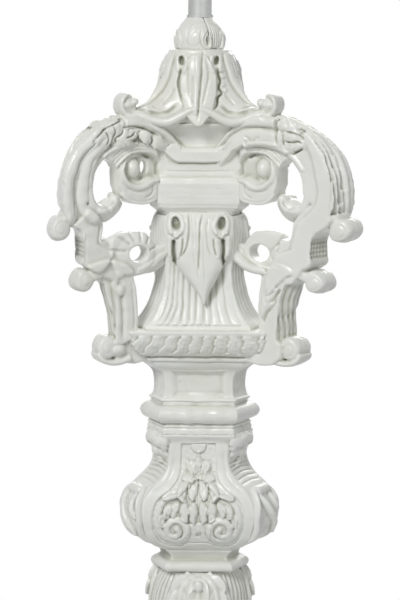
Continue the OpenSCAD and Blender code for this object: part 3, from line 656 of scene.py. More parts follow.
def fuse(obj: Obj, voxel: float, soften: int = 2) -> Obj:
    """Makes one closed skin of overlapping parts, as carved from one block.

    Args:
        obj: the joined parts.
        voxel: size of the skin's faces, in millimetres.
        soften: rounds of smoothing.

    Returns:
        The same object.
    """
    take(obj)
    remesh = obj.modifiers.new("fuse", "REMESH")
    remesh.mode = "VOXEL"
    remesh.voxel_size = voxel * MM
    bpy.ops.object.modifier_apply(modifier="fuse")
    if soften:
        smooth = obj.modifiers.new("soften", "SMOOTH")
        smooth.factor = 0.5
        smooth.iterations = soften
        bpy.ops.object.modifier_apply(modifier="soften")
    return obj


def cut_away(obj: Obj, tool: Obj) -> None:
    """Cuts one object out of another and removes it.

    Args:
        obj: the piece.
        tool: what is cut out of it.
    """
    take(obj)
    cut = obj.modifiers.new("cut", "BOOLEAN")
    cut.operation, cut.solver, cut.object = "DIFFERENCE", "EXACT", tool
    bpy.ops.object.modifier_apply(modifier="cut")
    bpy.data.objects.remove(tool)


def bored(obj: Obj, centre: Sequence[float], radius: float, tall: float) -> None:
    """Bores an oval hole through a board, across it.

    Args:
        obj: the board.
        centre: distance from the axis and height of the hole.
        radius: half its width.
        tall: half its height.
    """
    deselect()
    bpy.ops.mesh.primitive_cylinder_add(vertices=40, radius=radius * MM, depth=0.06,
        rotation=(math.pi / 2, 0, 0),
                                        location=(centre[0] * MM, 0, centre[1] * MM),
                                        scale=(1, tall / radius, 1))
    cut_away(obj, bpy.context.object)


def turned_copy(obj: Obj, name: str, angle: float) -> Obj:
    """Copy with its own mesh, turned about the lamp's axis.

    Args:
        obj: the object.
        name: name of the copy.
        angle: its turn in degrees.

    Returns:
        The copy.
    """
    take(obj)
    bpy.ops.object.duplicate()
    new = bpy.context.object
    new.name = new.data.name = name
    turn_about_axis(new, angle)
    return new


def turn_about_axis(obj: Obj, angle: float) -> None:
    """Turns a mesh about the lamp's axis, in degrees."""
    c, s = cos_sin(angle)
    place_points(obj, points_of(obj) @ np.array([[c, s, 0], [-s, c, 0], [0, 0, 1]]))


def copies(first: Obj, name: str, angles: Iterable[float] = THIRDS) -> list[Obj]:
    """Turned copies that take the place of the piece they are made from.

    Args:
        first: the piece, which is removed.
        name: name of the copies.
        angles: turn of each about the lamp's axis, in degrees.

    Returns:
        The copies.
    """
    made = [turned_copy(first, name, angle) for angle in angles]
    bpy.data.objects.remove(first)
    return made


def waver(obj: Obj, wide: float = 24.0, much: float = 0.26) -> None:
    """Makes a surface faintly uneven, as the chisel and thick paint leave it.

    Args:
        obj: the piece.
        wide: longest wave, in millimetres.
        much: height of the waves.
    """
    at = points_of(obj)
    move = np.zeros_like(at)
    for k, (way, share, size) in enumerate(WAVES):
        phase = at @ np.asarray(way) * (2 * np.pi / (wide * size)) + 1.3 * k
        move += much * share * 0.5 * np.column_stack([np.sin(phase), np.sin(phase + 2.1 + 0.4 * k),
            np.sin(phase + 4.2)])
    place_points(obj, at + move)


def hollows(obj: Obj, rounds: int = 12) -> None:
    """Writes how deep each vertex lies in a hollow as the attribute "hollow", 0.5 on flat ground; the paint
    reads it as painted shade.

    Args:
        obj: the finished mesh.
        rounds: how far around each vertex the ground is compared.
    """
    at, n = points_of(obj), normals_of(obj)
    edges = np.empty(len(obj.data.edges) * 2, np.int64)
    obj.data.edges.foreach_get("vertices", edges)
    a, b = edges.reshape(-1, 2).T
    count = np.maximum(np.bincount(a, minlength=len(at)) + np.bincount(b, minlength=len(at)), 1)

    def spread(v: np.ndarray) -> np.ndarray:
        """Mean of the neighbours of each vertex."""
        return (np.bincount(a, v[b], len(at)) + np.bincount(b, v[a], len(at))) / count

    smooth = at.copy()
    for _ in range(rounds):
        smooth = np.column_stack([spread(smooth[:, i]) for i in range(3)])
    depth = ((smooth - at) * n).sum(1)
    for _ in range(2):
        depth = 0.5 * depth + 0.5 * spread(depth)
    layer = obj.data.attributes.new("hollow", "FLOAT", "POINT")
    layer.data.foreach_set("value", np.clip(0.5 + depth / DEEP, 0, 1).astype(np.float32))


def darken(obj: Obj, more: np.ndarray) -> None:
    """Paints a piece darker by adding to its "hollow" attribute, as if its hollows were deeper.

    Args:
        obj: the piece.
        more: amount for each vertex, on the scale of the attribute.
    """
    if "hollow" not in obj.data.attributes:
        hollows(obj)
    values = np.empty(len(more), np.float32)
    layer = obj.data.attributes["hollow"].data
    layer.foreach_get("value", values)
    layer.foreach_set("value", np.clip(values + more, 0, 1).astype(np.float32))


def paint_shade(obj: Obj, angles: Sequence[float], draw: Callable[[Chart], None]) -> None:
    """Paints shade on a piece, darker where a drawing rises on a board that faces outwards.

    Args:
        obj: the piece.
        angles: directions from the axis, in degrees.
        draw: draws on the board.
    """
    at, more = points_of(obj), np.zeros(len(obj.data.vertices))
    for angle in angles:
        c, s = cos_sin(angle)
        near = at @ np.array([[c, -s, 0], [s, c, 0], [0, 0, 1]])
        k = np.nonzero(near[:, 0] > 1.75 * abs(near[:,
            1]) ** 0.9)[0] if len(angles) > 1 else np.arange(len(at))
        chart = Chart(near[k][:, 1:], np.zeros(len(k)))
        draw(chart)
        more[k] += chart.height
    darken(obj, more)


# ---------------------------------------------------------------- arms


def rolled_end(r: float, z: float, radius: float, half: float, start: float, turn: int) -> Obj:
    """Rolled end of a leaf: a soft barrel with domed faces, a shallow winding groove and creases around it.

    Args:
        r: distance of its centre from the axis, in millimetres.
        z: height of its centre.
        radius: radius of the barrel.
        half: half its length.
        start: where the winding groove starts, in degrees.
        turn: way it winds, 1 or -1.

    Returns:
        The new object.
    """
    a = np.linspace(0, 2 * np.pi, 49)
    t = np.linspace(-1, 1, 33)
    along = t[:, None]
    crease = np.exp(-(((along - 0.30 + 0.10 * np.sin(a * 2)) / 0.07) ** 2))
    crease = crease + 0.7 * np.exp(-(((along + 0.42 - 0.12 * np.sin(a * 3)) / 0.06) ** 2))
    swell = 1 - 0.20 * abs(along) ** 4 + 0.03 * np.sin(2 * a + start) + 0.025 * np.sin(3 * a + 4 * along)
    rho = radius * swell - 0.8 * crease
    ring = np.stack([rho * np.cos(a), np.repeat((t * half * 0.88)[:, None], 49, 1), rho * np.sin(a)], 2)
    faces = []
    for sign in (-1, 1):
        q = np.linspace(0.0, 0.985, 16)[:, None] * radius * 0.80
        edge = q / (radius * 0.80)
        face = np.stack([q * np.cos(a), np.zeros((16, 49)), q * np.sin(a)], 2)
        wind = (edge * 1.5 - turn * sign * (a[None, :] - math.radians(start)) / (2 * np.pi)) % 1.0
        deep = 0.75 * np.exp(-(((wind - 0.5) / 0.15) ** 2)) * step((edge - 0.2) / 0.3) * step((0.95 - edge)
            / 0.2)
        face[..., 1] = sign * (half * (0.88 + 0.13 * (1 - edge**2)) - deep)
        faces.append(face)
    rows = np.concatenate([faces[0], ring[1:-1], faces[1][::-1]])
    return skin(rows + np.array([r, 0, z]))


@dataclass
class Arm:
    """One scrolled arm, modelled along +X with its two carved sides towards -Y and +Y.

    Distances are from the lamp's axis and heights from the floor, in millimetres.
    """

    half: float = 15.2
    # Half thickness where the leaves of the banded side start, and of the ground between its bands.
    far: float = 12.5
    ground: float = 9.0
    face: float = 28.0
    ear: Triple = (76, 983.5, 9.8)
    reach: dict[str, float] = field(default_factory=lambda: {"right": 1.055, "left": 0.94, "back": 1.0})
    sway: dict[str, float] = field(default_factory=lambda: {"right": -12.0, "left": -4.5, "back": -7.0})
    outer: Points = (
        (26, 1079), (33, 1088), (41, 1096), (50, 1103.5), (60, 1108.5), (73, 1111.5), (86, 1111.2),
        (97.5, 1107.8), (107, 1103.2), (120, 1096.5), (132, 1087), (141.5, 1075), (148, 1061), (150.3, 1046),
        (150, 1032), (145, 1019),
    )
    hollow: Points = (
        (126, 1033), (120, 1036.5), (117, 1042), (116.4, 1051), (113.4, 1061), (107.5, 1069.5), (100, 1076),
        (91, 1080), (80, 1082.6), (68, 1083.2), (58, 1081.5), (51.5, 1077), (48, 1069), (47, 1059),
    )
    strip: Points = (
        (117, 1089), (122, 1082), (126.3, 1074), (129, 1063), (131.8, 1051), (132.4, 1042), (128.5, 1030.5),
        (114, 1016.5),
    )
    groove: Points = ((137.4, 1023), (138.6, 1039), (137.8, 1053), (134.6, 1064), (130, 1073.4),
                      (124.2, 1081), (117.6, 1087))
    knee: Points = ((121, 972), (114, 966), (108.5, 959.5), (104.5, 951), (101, 940), (98.5, 925), (97, 910),
                    (97, 900))
    curls: Points = ((151.5, 1010.5, 11.2, 13.0), (127, 961.5, 10.4, 13.5), (101.5, 897.0, 11.0, 12.0))
    lean: dict[str, tuple[float, float]] = field(default_factory=lambda: {"right": (-2.5, 0.4),
        "left": (1.8, 2.4), "back": (0.0, 1.0)})

    def outline(self) -> np.ndarray:
        """Closed outline of the board.

        Returns:
            Its points as [distance from the axis, height].
        """
        upright = [(139, 1011.5), (131.5, 1007), (129.3, 1002), (129, 990), (128.5, 977.5)]
        foot = [(96, 888), (86, 881), (74, 879), (50, 883), (50, 905), (66, 907)]
        leg = [(72.5, 912), (72.3, 922), (71.5, 934), (73, 947), (76.5, 957), (79, 963)]
        low = [(73, 964.5), (62, 963.5), (52, 965.5), (44, 970), (34, 977), (26, 983)]
        top = [(30, 991), (44, 991), (54, 990), (57, 995), (61.5, 1000), (67.5, 1003.5), (76, 1005),
               (86, 1004.5), (93, 1002.5), (99, 999.3)]
        inner = [(107.6, 998.6), (107.6, 1015), (112.5, 1021.5), (119, 1028.5)]
        crown = [(14, 1059), (14, 1079)]
        return np.vstack([
            smooth_path(self.outer), upright[:3], smooth_path([*upright[3:], *self.knee], 6),
            smooth_path(foot[:2], 2), foot[2:],
            smooth_path(leg, 6), smooth_path(low, 6), smooth_path(top, 6), inner, smooth_path(self.hollow),
            crown,
        ])

    near_crevices: tuple[Points, ...] = (
        [(90.2, 1113), (89.6, 1106), (90.4, 1100), (89.4, 1094), (91, 1087)],
        [(99, 1098.4), (106, 1097.4), (112.6, 1094.6), (116.6, 1091.6)],
        [(110.6, 1101), (114.4, 1098.6), (113, 1095)],
        [(98.6, 1089.4), (105, 1088.6), (111, 1089.4), (115.6, 1087.4)],
        [(115.6, 1083.6), (111.6, 1080.8), (106.6, 1077.6)], [(97.4, 1096), (97, 1090.6), (98.4, 1085)],
    )
    far_crevices: tuple[Points, ...] = (
        [(118.4, 1091.4), (112, 1096.4), (106.8, 1099.8), (97, 1104.4), (87.4, 1108.6)],
        [(107.6, 1098.4), (104.6, 1092), (105.4, 1085.4)],
        [(99, 1103), (97.4, 1097), (100.6, 1090.6), (99.4, 1084.4)], [(88.6, 1099.4), (91, 1094.6),
            (96.4, 1091.4), (94.4, 1086.4)],
        [(88.4, 1100.4), (79, 1102), (69, 1100), (59, 1096), (50, 1091.6)],
        [(73.6, 1096), (72.6, 1090.4), (75.6, 1086)], [(58.6, 1093), (57.4, 1087.6), (60, 1082.6)],
        [(86, 1091.6), (80.4, 1093), (76, 1096.4)],
    )

    def near_side(self, at: np.ndarray) -> np.ndarray:
        """Half thickness on the flat side, which has one fine step around its inner border.

        Args:
            at: points as [distance from the axis, height].

        Returns:
            Half thickness at each point.
        """
        c = Chart(at, np.full(len(at), self.half))
        edge = np.vstack([smooth_path(self.strip), [(111.6, 1013.5), (111.0, 990.5), (98, 982.5)]])
        strip = np.vstack([edge, [(92, 985), (92, 1010), (105, 1020), (112, 1028)],
                           smooth_path(self.hollow[:7])])
        c.lift(strip, -1.8, 0.8, smooth=False)
        c.cut(edge, 1.2, 0.8, smooth=False)
        c.bead([(22, 1072), (33, 1084), (41, 1093.5), (50, 1100), (60, 1104.7), (73, 1107), (84, 1106.8),
                (89, 1105)], 5.6, 3.2, (0.5, 0.9))
        c.cut([(28, 1074), (34.3, 1083), (41.2, 1090.2), (49.6, 1096), (59.3, 1100), (73.2, 1101),
               (88, 1098.5)], 2.2, 3.4, fade=False)
        c.bead([(33, 1064), (40, 1074), (50, 1084), (61, 1090), (75, 1092), (92, 1090), (104, 1084.5)], 7.5,
               1.6, (0.8, 0.5))
        c.bead([(41, 1061), (45, 1070), (52, 1079), (62, 1085), (74, 1086.5), (88, 1085), (100, 1080),
                (110, 1073), (117, 1064)], 2.0, 1.5)
        c.cut([(90.5, 1113), (90, 1105), (88.5, 1097)], 1.9, 5.0, fade=False)
        c.cut([(92, 1098), (92, 1088), (97, 1080.5)], 1.5, 2.6)
        c.cut([(57.5, 1093), (63, 1090), (67, 1088.5), (69, 1091.5), (74, 1091.5)], 1.3, 1.8)
        c.cut([(61, 1083.5), (59, 1087.5), (63, 1089)], 1.2, 1.4)
        c.bead([(136, 1090), (144, 1076), (148, 1060), (149.5, 1045), (148, 1030)], 2.2, 0.8)
        c.cut([(131, 1091), (139, 1079), (143.5, 1063), (145, 1047), (144, 1032), (140, 1020)], 1.1, 0.7)
        c.lift([(92, 975), (103, 976), (112, 971), (104, 963), (97, 958), (90, 950), (83, 940), (77, 926),
                (75.5, 935), (79, 950), (84, 963)], 1.6, 1.5)
        c.cut([(110, 967), (101, 962.5), (93, 955), (86, 948), (80.5, 945)], 1.5, 3.4)
        c.cut([(101, 956), (94, 950), (88, 942), (84, 940)], 1.8, 4.0)
        c.cut([(92, 943), (86, 936), (80, 928), (77.5, 920)], 1.8, 4.0)
        c.cut([(82, 952), (79.5, 945), (81, 938)], 1.4, 2.2)
        c.dome((90, 952.5), 3.2, 1.4, 0.6, 40)
        c.cut([(105, 973), (97, 975), (88, 972.5), (83, 969)], 1.4, 1.3)
        c.cut([(99, 999), (92, 992), (87, 985), (88, 976)], 1.5, 1.6)
        c.lift([(20, 1004), (20, 960), (60, 962), (80, 964), (86, 969), (94, 977), (99, 985.5), (99.5, 1001),
                (90, 1012), (60, 1012)], -14.5, 1.6, smooth=False)
        c.dome((76, 984), 21, 2.0)
        c.bead([(40, 984), (50, 979.5), (60, 974), (70, 970), (82, 969)], 4.5, 2.0, (0.7, 0.5))
        self._web(c)
        return self._rounded(c, at, 1.9)

    def far_side(self, at: np.ndarray) -> np.ndarray:
        """Half thickness on the banded side: a round outer band, an inner band and a rim.

        Args:
            at: points as [distance from the axis, height].

        Returns:
            Half thickness at each point.
        """
        c = Chart(at, np.full(len(at), self.ground))
        c.bead([(24, 1078), (33, 1086), (42, 1092.5), (52, 1098), (62, 1101.6), (72, 1103.8), (84, 1104),
                (95, 1101.4), (107, 1096), (118, 1089.5), (128.5, 1081.5), (136, 1071.5), (141.4, 1059),
                (144, 1046), (144.2, 1034), (143, 1024), (148, 1015)], 7.8, 6.4, (0.75, 1.0), self.ground)
        c.bead([(111, 1083), (117.4, 1077), (122.6, 1068.5), (125.8, 1057), (127.6, 1045), (127.4, 1036),
                (124, 1027), (117, 1020)], 8.6, 5.4, (0.7, 0.8), self.ground)
        c.cut([(112.4, 1078), (118.4, 1069), (121.8, 1057), (122.8, 1045), (121.4, 1035)], 1.6, 1.3)
        c.bead([(72, 1086.5), (84, 1086), (96, 1081.5), (105, 1075)], 3.4, 3.6, (0.6, 0.8), self.ground)
        c.cut(self.groove, 1.7, 3.4, fade=False)
        for k in (3.4, 6.2, 8.8):
            c.cut([(138 + k, 1022), (139 + k, 1036), (138 + k, 1051), (134 + k, 1065), (127 + k, 1077),
                   (118 + k, 1087 + k / 2)], 0.8, 0.6)
        c.cut([(119.5, 1089), (114, 1095), (106.5, 1100.3), (97, 1105), (88, 1109)], 2.0, 5.5, fade=False)
        c.cut([(88, 1110.5), (86.5, 1104), (88.5, 1099)], 1.6, 3.0, fade=False)
        c.bead([(86, 1104.5), (74, 1105), (62, 1102.8), (51, 1098.5), (41, 1092), (33, 1085)], 5.6, 1.8,
               (0.9, 0.5))
        c.cut([(84, 1100), (72, 1100.5), (60, 1098), (49, 1093), (40, 1086)], 1.8, 3.0)
        for k in (0.0, 3.0, 6.0):
            c.cut([(60 + k, 1085 + k / 2), (72, 1088.5 + k), (86, 1087.5 + k), (98, 1083 + k),
                   (107, 1076 + k)], 1.0, 1.1)
        for k in range(4):
            c.cut([(82 + 3 * k, 1099), (83 + 3 * k, 1104), (82 + 3 * k, 1109)], 0.9, 0.8)
        c.lift([(107.6, 998), (107.6, 1016), (122, 1027), (131, 1020), (139, 1013), (129, 1005), (129, 977),
                (112, 969), (97, 985)], 4.0, 1.2)
        c.cut([(125.3, 1004), (125.3, 978)], 1.3, 1.6, smooth=False)
        c.cut([(111, 1013), (111, 996), (98, 988)], 2.2, 2.4, smooth=False)
        c.lift([(58, 968), (44, 978), (30, 983), (30, 991), (55, 991), (62, 1001), (76, 1005), (92, 1003),
                (99, 995), (94, 968), (74, 966)], 3.2, 1.5)
        r, z, _ = self.ear
        c.dome((r, z), 18.5, 2.4)
        for turn in (14, 47, 72, 104, 133, 166):
            x, y = cos_sin(turn)
            c.cut([(r + 13.5 * x, z + 13.5 * y), (r + 23 * x, z + 23 * y)], 2.0, 2.4, fade=False,
                  smooth=False)
        c.bead([(42, 983), (52, 977.5), (62, 972), (74, 968.5)], 4.0, 1.6, (0.7, 0.5))
        self._web(c)
        c.lift([(99, 960), (112, 966), (122, 975), (104, 980), (90, 976), (80, 966), (74, 950), (72, 930),
                (73, 908), (96, 900), (95, 930)], 4.2, 1.3)
        c.cut([(93, 962), (90, 945), (88.5, 925), (89, 905)], 3.2, 2.4)
        c.cut([(80.5, 958), (78, 942), (77, 925), (78, 908)], 1.2, 1.5)
        return self._rounded(c, at, 2.2)

    def _web(self, chart: Chart) -> None:
        """Brings the root of the arm back to the plain face between the bands and the abacus.

        Args:
            chart: board of one side.
        """
        mask = Chart(chart.at, np.zeros(len(chart.at)))
        mask.lift([(8, 1050), (8, 1067), (24, 1067), (33, 1064.5), (39, 1070), (45, 1077.5), (56, 1083),
                   (52, 1066), (51, 1050)], 1.0, 1.4, smooth=False)
        plain = np.maximum((self.face - 0.5 * chart.at[:, 0]) / COS_30 + 0.4, 2.0)
        chart.height += mask.height * (np.minimum(plain, chart.height) - chart.height)

    def _rounded(self, chart: Chart, at: np.ndarray, radius: float) -> np.ndarray:
        """Takes the edges of the outline off.

        Args:
            chart: board of one side.
            at: its points.
            radius: radius of the edge.

        Returns:
            Half thickness at each point.
        """
        ring = self.outline()
        d, _, _ = to_line(at, np.vstack([ring, ring[:1]]))
        return chart.height - radius * (1 - np.sqrt(1 - (1 - np.clip(d / radius, 0, 1)) ** 2))

    def outer_edge(self, at: np.ndarray) -> np.ndarray:
        """Moves the outer edge in and out: long leaf ridges, a hatched upright and a reeded leg.

        Args:
            at: points of the board.

        Returns:
            The moved points.
        """
        flat, t = at[:, (0, 2)], at[:, 1]
        move = np.zeros_like(at)
        ring = self.outline()
        shoulder = smooth_path(self.outer[5:])
        upright = np.array([(129.3, 1003), (128.8, 979)])
        leg = smooth_path(self.knee[2:])
        for line, reach, kind in ((shoulder, 7.0, 0), (upright, 2.5, 1), (leg, 5.0, 2)):
            d, s, _ = to_line(flat, line)
            total = length_of(line)
            k = np.nonzero(d < reach)[0]
            d, s, tt = d[k], s[k], t[k]
            weight = (1 - step(d / reach)) * step(s / 6) * step((total - s) / 6)
            if kind == 0:
                near = step(-tt / 6 + 0.6)
                row = (tt + 15) / 6.4 + 0.25 * np.sin(s / 13.0)
                ridge = 1 - abs(np.cos(np.pi * row))
                tip = ((s / 34.0 + 0.37 * np.floor(row)) % 1.0) ** 2
                deep = (1.1 + 3.2 * near) * ridge + near * (2.4 * tip + 1.4 * step((s - total * 0.35) / 30))
                fine = 0.5 * np.sin(tt * 4.2 + 0.9 * np.sin(s / 7))
                out = -(deep + fine) * weight + 0.6
            elif kind == 1:
                hatch = np.clip(np.cos(2 * np.pi * s / 4.2) + np.cos(2 * np.pi * tt / 4.2), -1, 1)
                out = (-2.4 + 0.9 * hatch) * weight * step((14 - abs(tt)) / 2)
            else:
                reed = abs(np.cos(np.pi * (tt / 5.2 + 0.5 * np.sin(s / 11) + 0.2 * np.sin(tt * 1.3))))
                out = -(2.6 * (1 - reed) + 0.4 + 5.0 * step((-tt - 1) / 13)) * weight
            i = np.clip(np.searchsorted(np.linspace(0, total, len(line)), s), 1, len(line) - 1)
            along = line[i] - line[i - 1]
            along /= np.linalg.norm(along, axis=1)[:, None] + 1e-9
            normal = np.column_stack([-along[:, 1], along[:, 0]])
            probe = line[i] + 0.5 * normal
            normal[inside(probe, ring)] *= -1
            move[k, 0] += out * normal[:, 0]
            move[k, 2] += out * normal[:, 1]
        return at + move

    # Small leaves on each side: lobes, notches, half widths, and midribs with their height over that side.
    near_leaves: tuple = (
        (2, 0.3, (3, 5.4, 5.2, 2.2), ((114, 1, 1096.5), (106, -2.4, 1100), (98, -3.2, 1102.6),
            (91, -0.5, 1104))),
        (2, 0.3, (3, 6.4, 6.0, 2.8), ((117, 1, 1089.5), (110, -2.6, 1092.5), (102, -3.8, 1094),
            (93, -1.0, 1090))),
        (2, 0.3, (2.5, 4.6, 4.2, 2.0), ((119, 1, 1084.5), (114, -2.0, 1086.5), (108, -2.8, 1084.5),
            (105, -0.8, 1079))),
        (2, 0.3, (2.5, 4.4, 4.0, 1.6), ((91, 0, 1099), (93, -2.2, 1093), (94, -2.2, 1087), (91, 0, 1081))),
    )
    far_leaves: tuple = (
        (1, 0.3, (4.5, 7.4, 7.0, 3.0), ((57.5, 0, 1085), (60, 3.4, 1089), (65, 4.0, 1092.5),
            (71, 1.0, 1094))),
        (1, 0.3, (4, 7.0, 7.2, 3.5), ((41, 0, 1081), (47, 2.4, 1084), (54, 3.4, 1087.5), (60, 0, 1088))),
        (3, 0.36, (4, 8.6, 8.0, 2.5), ((97, -2, 1083), (92, 2.6, 1088.5), (84, 4.2, 1092.5),
            (72, 1.5, 1096))),
        (2, 0.36, (3.5, 6.0, 6.4, 3.0), ((85, -1, 1103), (92, 3.0, 1102.5), (100, 3.4, 1099),
            (104, 0, 1093.5))),
        (2, 0.3, (3.5, 6.0, 6.0, 2.4), ((97, -1, 1096), (102, 3.0, 1094), (106.4, 3.2, 1088),
            (106.4, 0, 1080.5))),
        (2, 0.3, (3.0, 5.2, 5.0, 2.0), ((106, -1, 1097.5), (112, 2.6, 1095.5), (117, 2.2, 1091),
            (118.5, -1, 1085))),
    )

    def leaves(self) -> list[Obj]:
        """Small leaves that lie on both sides of the shoulder.

        Returns:
            The leaves.
        """
        made = []
        for rows, face, way in ((self.near_leaves, -self.half, -1), (self.far_leaves, self.far, 1)):
            for lobes, depth, wide, path in rows:
                cut = LeafCut(lobes=lobes, depth=depth, cup=-1.5, rib=0.0, veins=1.2, thick=6)
                made.append(leaf([(r, face + y, z) for r, y, z in path], wide, (0, way, 0), cut))
        return made

    def board(self) -> Obj:
        """The arm's board with both its sides and its outer edge carved.

        Returns:
            The board.
        """
        obj = slab(self.outline(), -self.half, self.half)
        bored(obj, self.ear[:2], self.ear[2], 8.0)
        fuse(obj, 1.0, 0)
        at = points_of(obj)
        flat = at[:, (0, 2)]
        share = np.abs(at[:, 1]) / self.half
        side = np.where(at[:, 1] < 0, -self.near_side(flat), self.far_side(flat))
        at[:, 1] = side * share
        place_points(obj, self.outer_edge(at))
        return obj

    def build(self) -> Obj:
        """The whole arm as one skin.

        Returns:
            The arm, along +X.
        """
        parts = [self.board()]
        turns = ((200, 1), (200, 1), (180, 1))
        parts += [rolled_end(*curl, *turn) for curl, turn in zip(self.curls, turns)]
        parts += [ball((92.5, side * 7.5, 895), (7.5, 6.5, 6.0)) for side in (-1, 1)]
        parts += [
            rod([(143, 0, 1024), (145, 0, 1017), (149, 0, 1012)], (6.5, 7, 6), (13, 12, 10), power=0.7),
            rod([(122, 0, 1046), (120, 0, 1035), (114, 0, 1027), (106, 0, 1026)], (4.6, 5.0, 5.4, 4.6),
                (13, 13.5, 13, 12), power=0.6),
            leaf([(125, 0, 1028), (116, 0, 1023.6), (107, 0, 1021.6), (98, 0, 1024), (91.6, 0, 1030.5),
                  (89.4, 0, 1037.5)], (11, 13.4, 14.2, 14, 12.4, 8.5), (-0.25, 0, 1),
                 LeafCut(lobes=2.4, depth=0.16, cup=6.0, rib=1.0, veins=1.2, thick=7.5)),
            rod([(112, 0, 1026.5), (104, 0, 1027), (97, 0, 1030), (93, 0, 1034)], (4.5, 6.8, 6.8, 4.6),
                (9, 10.6, 10.4, 8)),
            ball((92.5, -5, 1035.5), (4.8, 6.0, 5.0)), ball((93.5, 5, 1035), (4.4, 6.0, 4.6)),
            rod([(112, 0, 968), (120, 0, 965), (127, 0, 961)], (6, 6.5, 6), (13, 12.5, 12), power=0.6),
            rod([(80, 0, 886), (90, 0, 883), (100, 0, 882.6), (108, 0, 886), (112, 0, 892)],
                (4, 3.6, 3.2, 2.8, 2.0), (13, 13, 12.5, 11.5, 9), power=0.7),
            rod([(84, -11, 968), (72, -9.5, 969), (60, -6, 972), (48, -2, 977), (34, 0, 984)],
                (3.5, 4.6, 5.4, 6.0, 6.4), (2.5, 5, 6.5, 8, 9)),
            rod([(84, 10, 966), (72, 9.5, 967), (60, 6, 970), (48, 3, 976), (34, 0, 983)],
                (3.0, 4.0, 5.0, 6.0, 6.4), (2.5, 4.5, 6.5, 8, 9)),
        ]
        parts += self.leaves()
        parts += [
            ball((108.5, self.far, 975.5), (5.2, 3.2, 4.6)),
            ball((92, self.far + 0.5, 969), (4.4, 3.2, 7.0), -15),
            ball((91.5, self.far, 950.5), (4.0, 2.8, 5.4), -10),
        ]
        obj = fuse(merged("arm", parts), 0.85, 2)
        at, n = points_of(obj), normals_of(obj)
        for sign, lines in ((-1, self.near_crevices), (1, self.far_crevices)):
            k = np.nonzero(sign * at[:, 1] > 7)[0]
            c = Chart(at[k][:, (0, 2)], np.zeros(len(k)))
            for line in lines:
                c.cut(line, 1.4, 3.0)
            at[k, 1] += sign * c.height * step(sign * n[k, 1] / 0.3)
        place_points(obj, at)
        hollows(obj)
        # Paints the outer walls of the hatched upright, of the reeded leg and of the shoulder's near half
        # darker.
        wall = step((n[:, 0] - 0.3) / 0.3)
        r, y, z = at.T
        upright = step((r - 118) / 4) * step((z - 974) / 3) * step((1004 - z) / 3) * step((14 - abs(y)) / 1.5)
        leg = step((r - 88) / 4) * step((z - 903) / 6) * step((958 - z) / 6)
        shoulder = step((r - 112) / 10) * step((z - 1020) / 10) * step(-y / 5) * 0.5
        darken(obj, 0.17 * wall * (upright + leg + shoulder))
        return obj

    def dress(self) -> None:
        """Copies the arm to the three corners, each reaching out a little more or less than the others."""
        first = self.build()
        for name, angle in CORNERS.items():
            copy = turned_copy(first, f"carved_arm_{name}", 0)
            at = points_of(copy)
            upper, lower = self.lean[name]
            out = step((at[:, 0] - 84) / 18)
            high, low = step((at[:, 2] - 960) / 14), step((968 - at[:, 2]) / 14) * step((at[:, 2] - 878) / 10)
            at[:, 0] += out * (high * step((1092 - at[:, 2]) / 20) * 2.7 * at[:, 1] / 15)
            twist = 2.6 if name == "right" else 0.6
            at[:, 0] += out * (high * step((1012 - at[:, 2]) / 16) * upper
                               + low * (lower + twist * at[:, 1] / 15))
            ear = np.exp(-(((at[:, 0] - 74) / 24) ** 2) - ((at[:, 2] - 984) / 21) ** 2)
            at[:, 0] += self.sway[name] * ear
            at[:, 0] = np.where(at[:, 0] > 60, 60 + (at[:, 0] - 60) * self.reach[name], at[:, 0])
            place_points(copy, at)
            turn_about_axis(copy, angle)
            finish_piece(copy, f"arm_{name}")
        bpy.data.objects.remove(first)


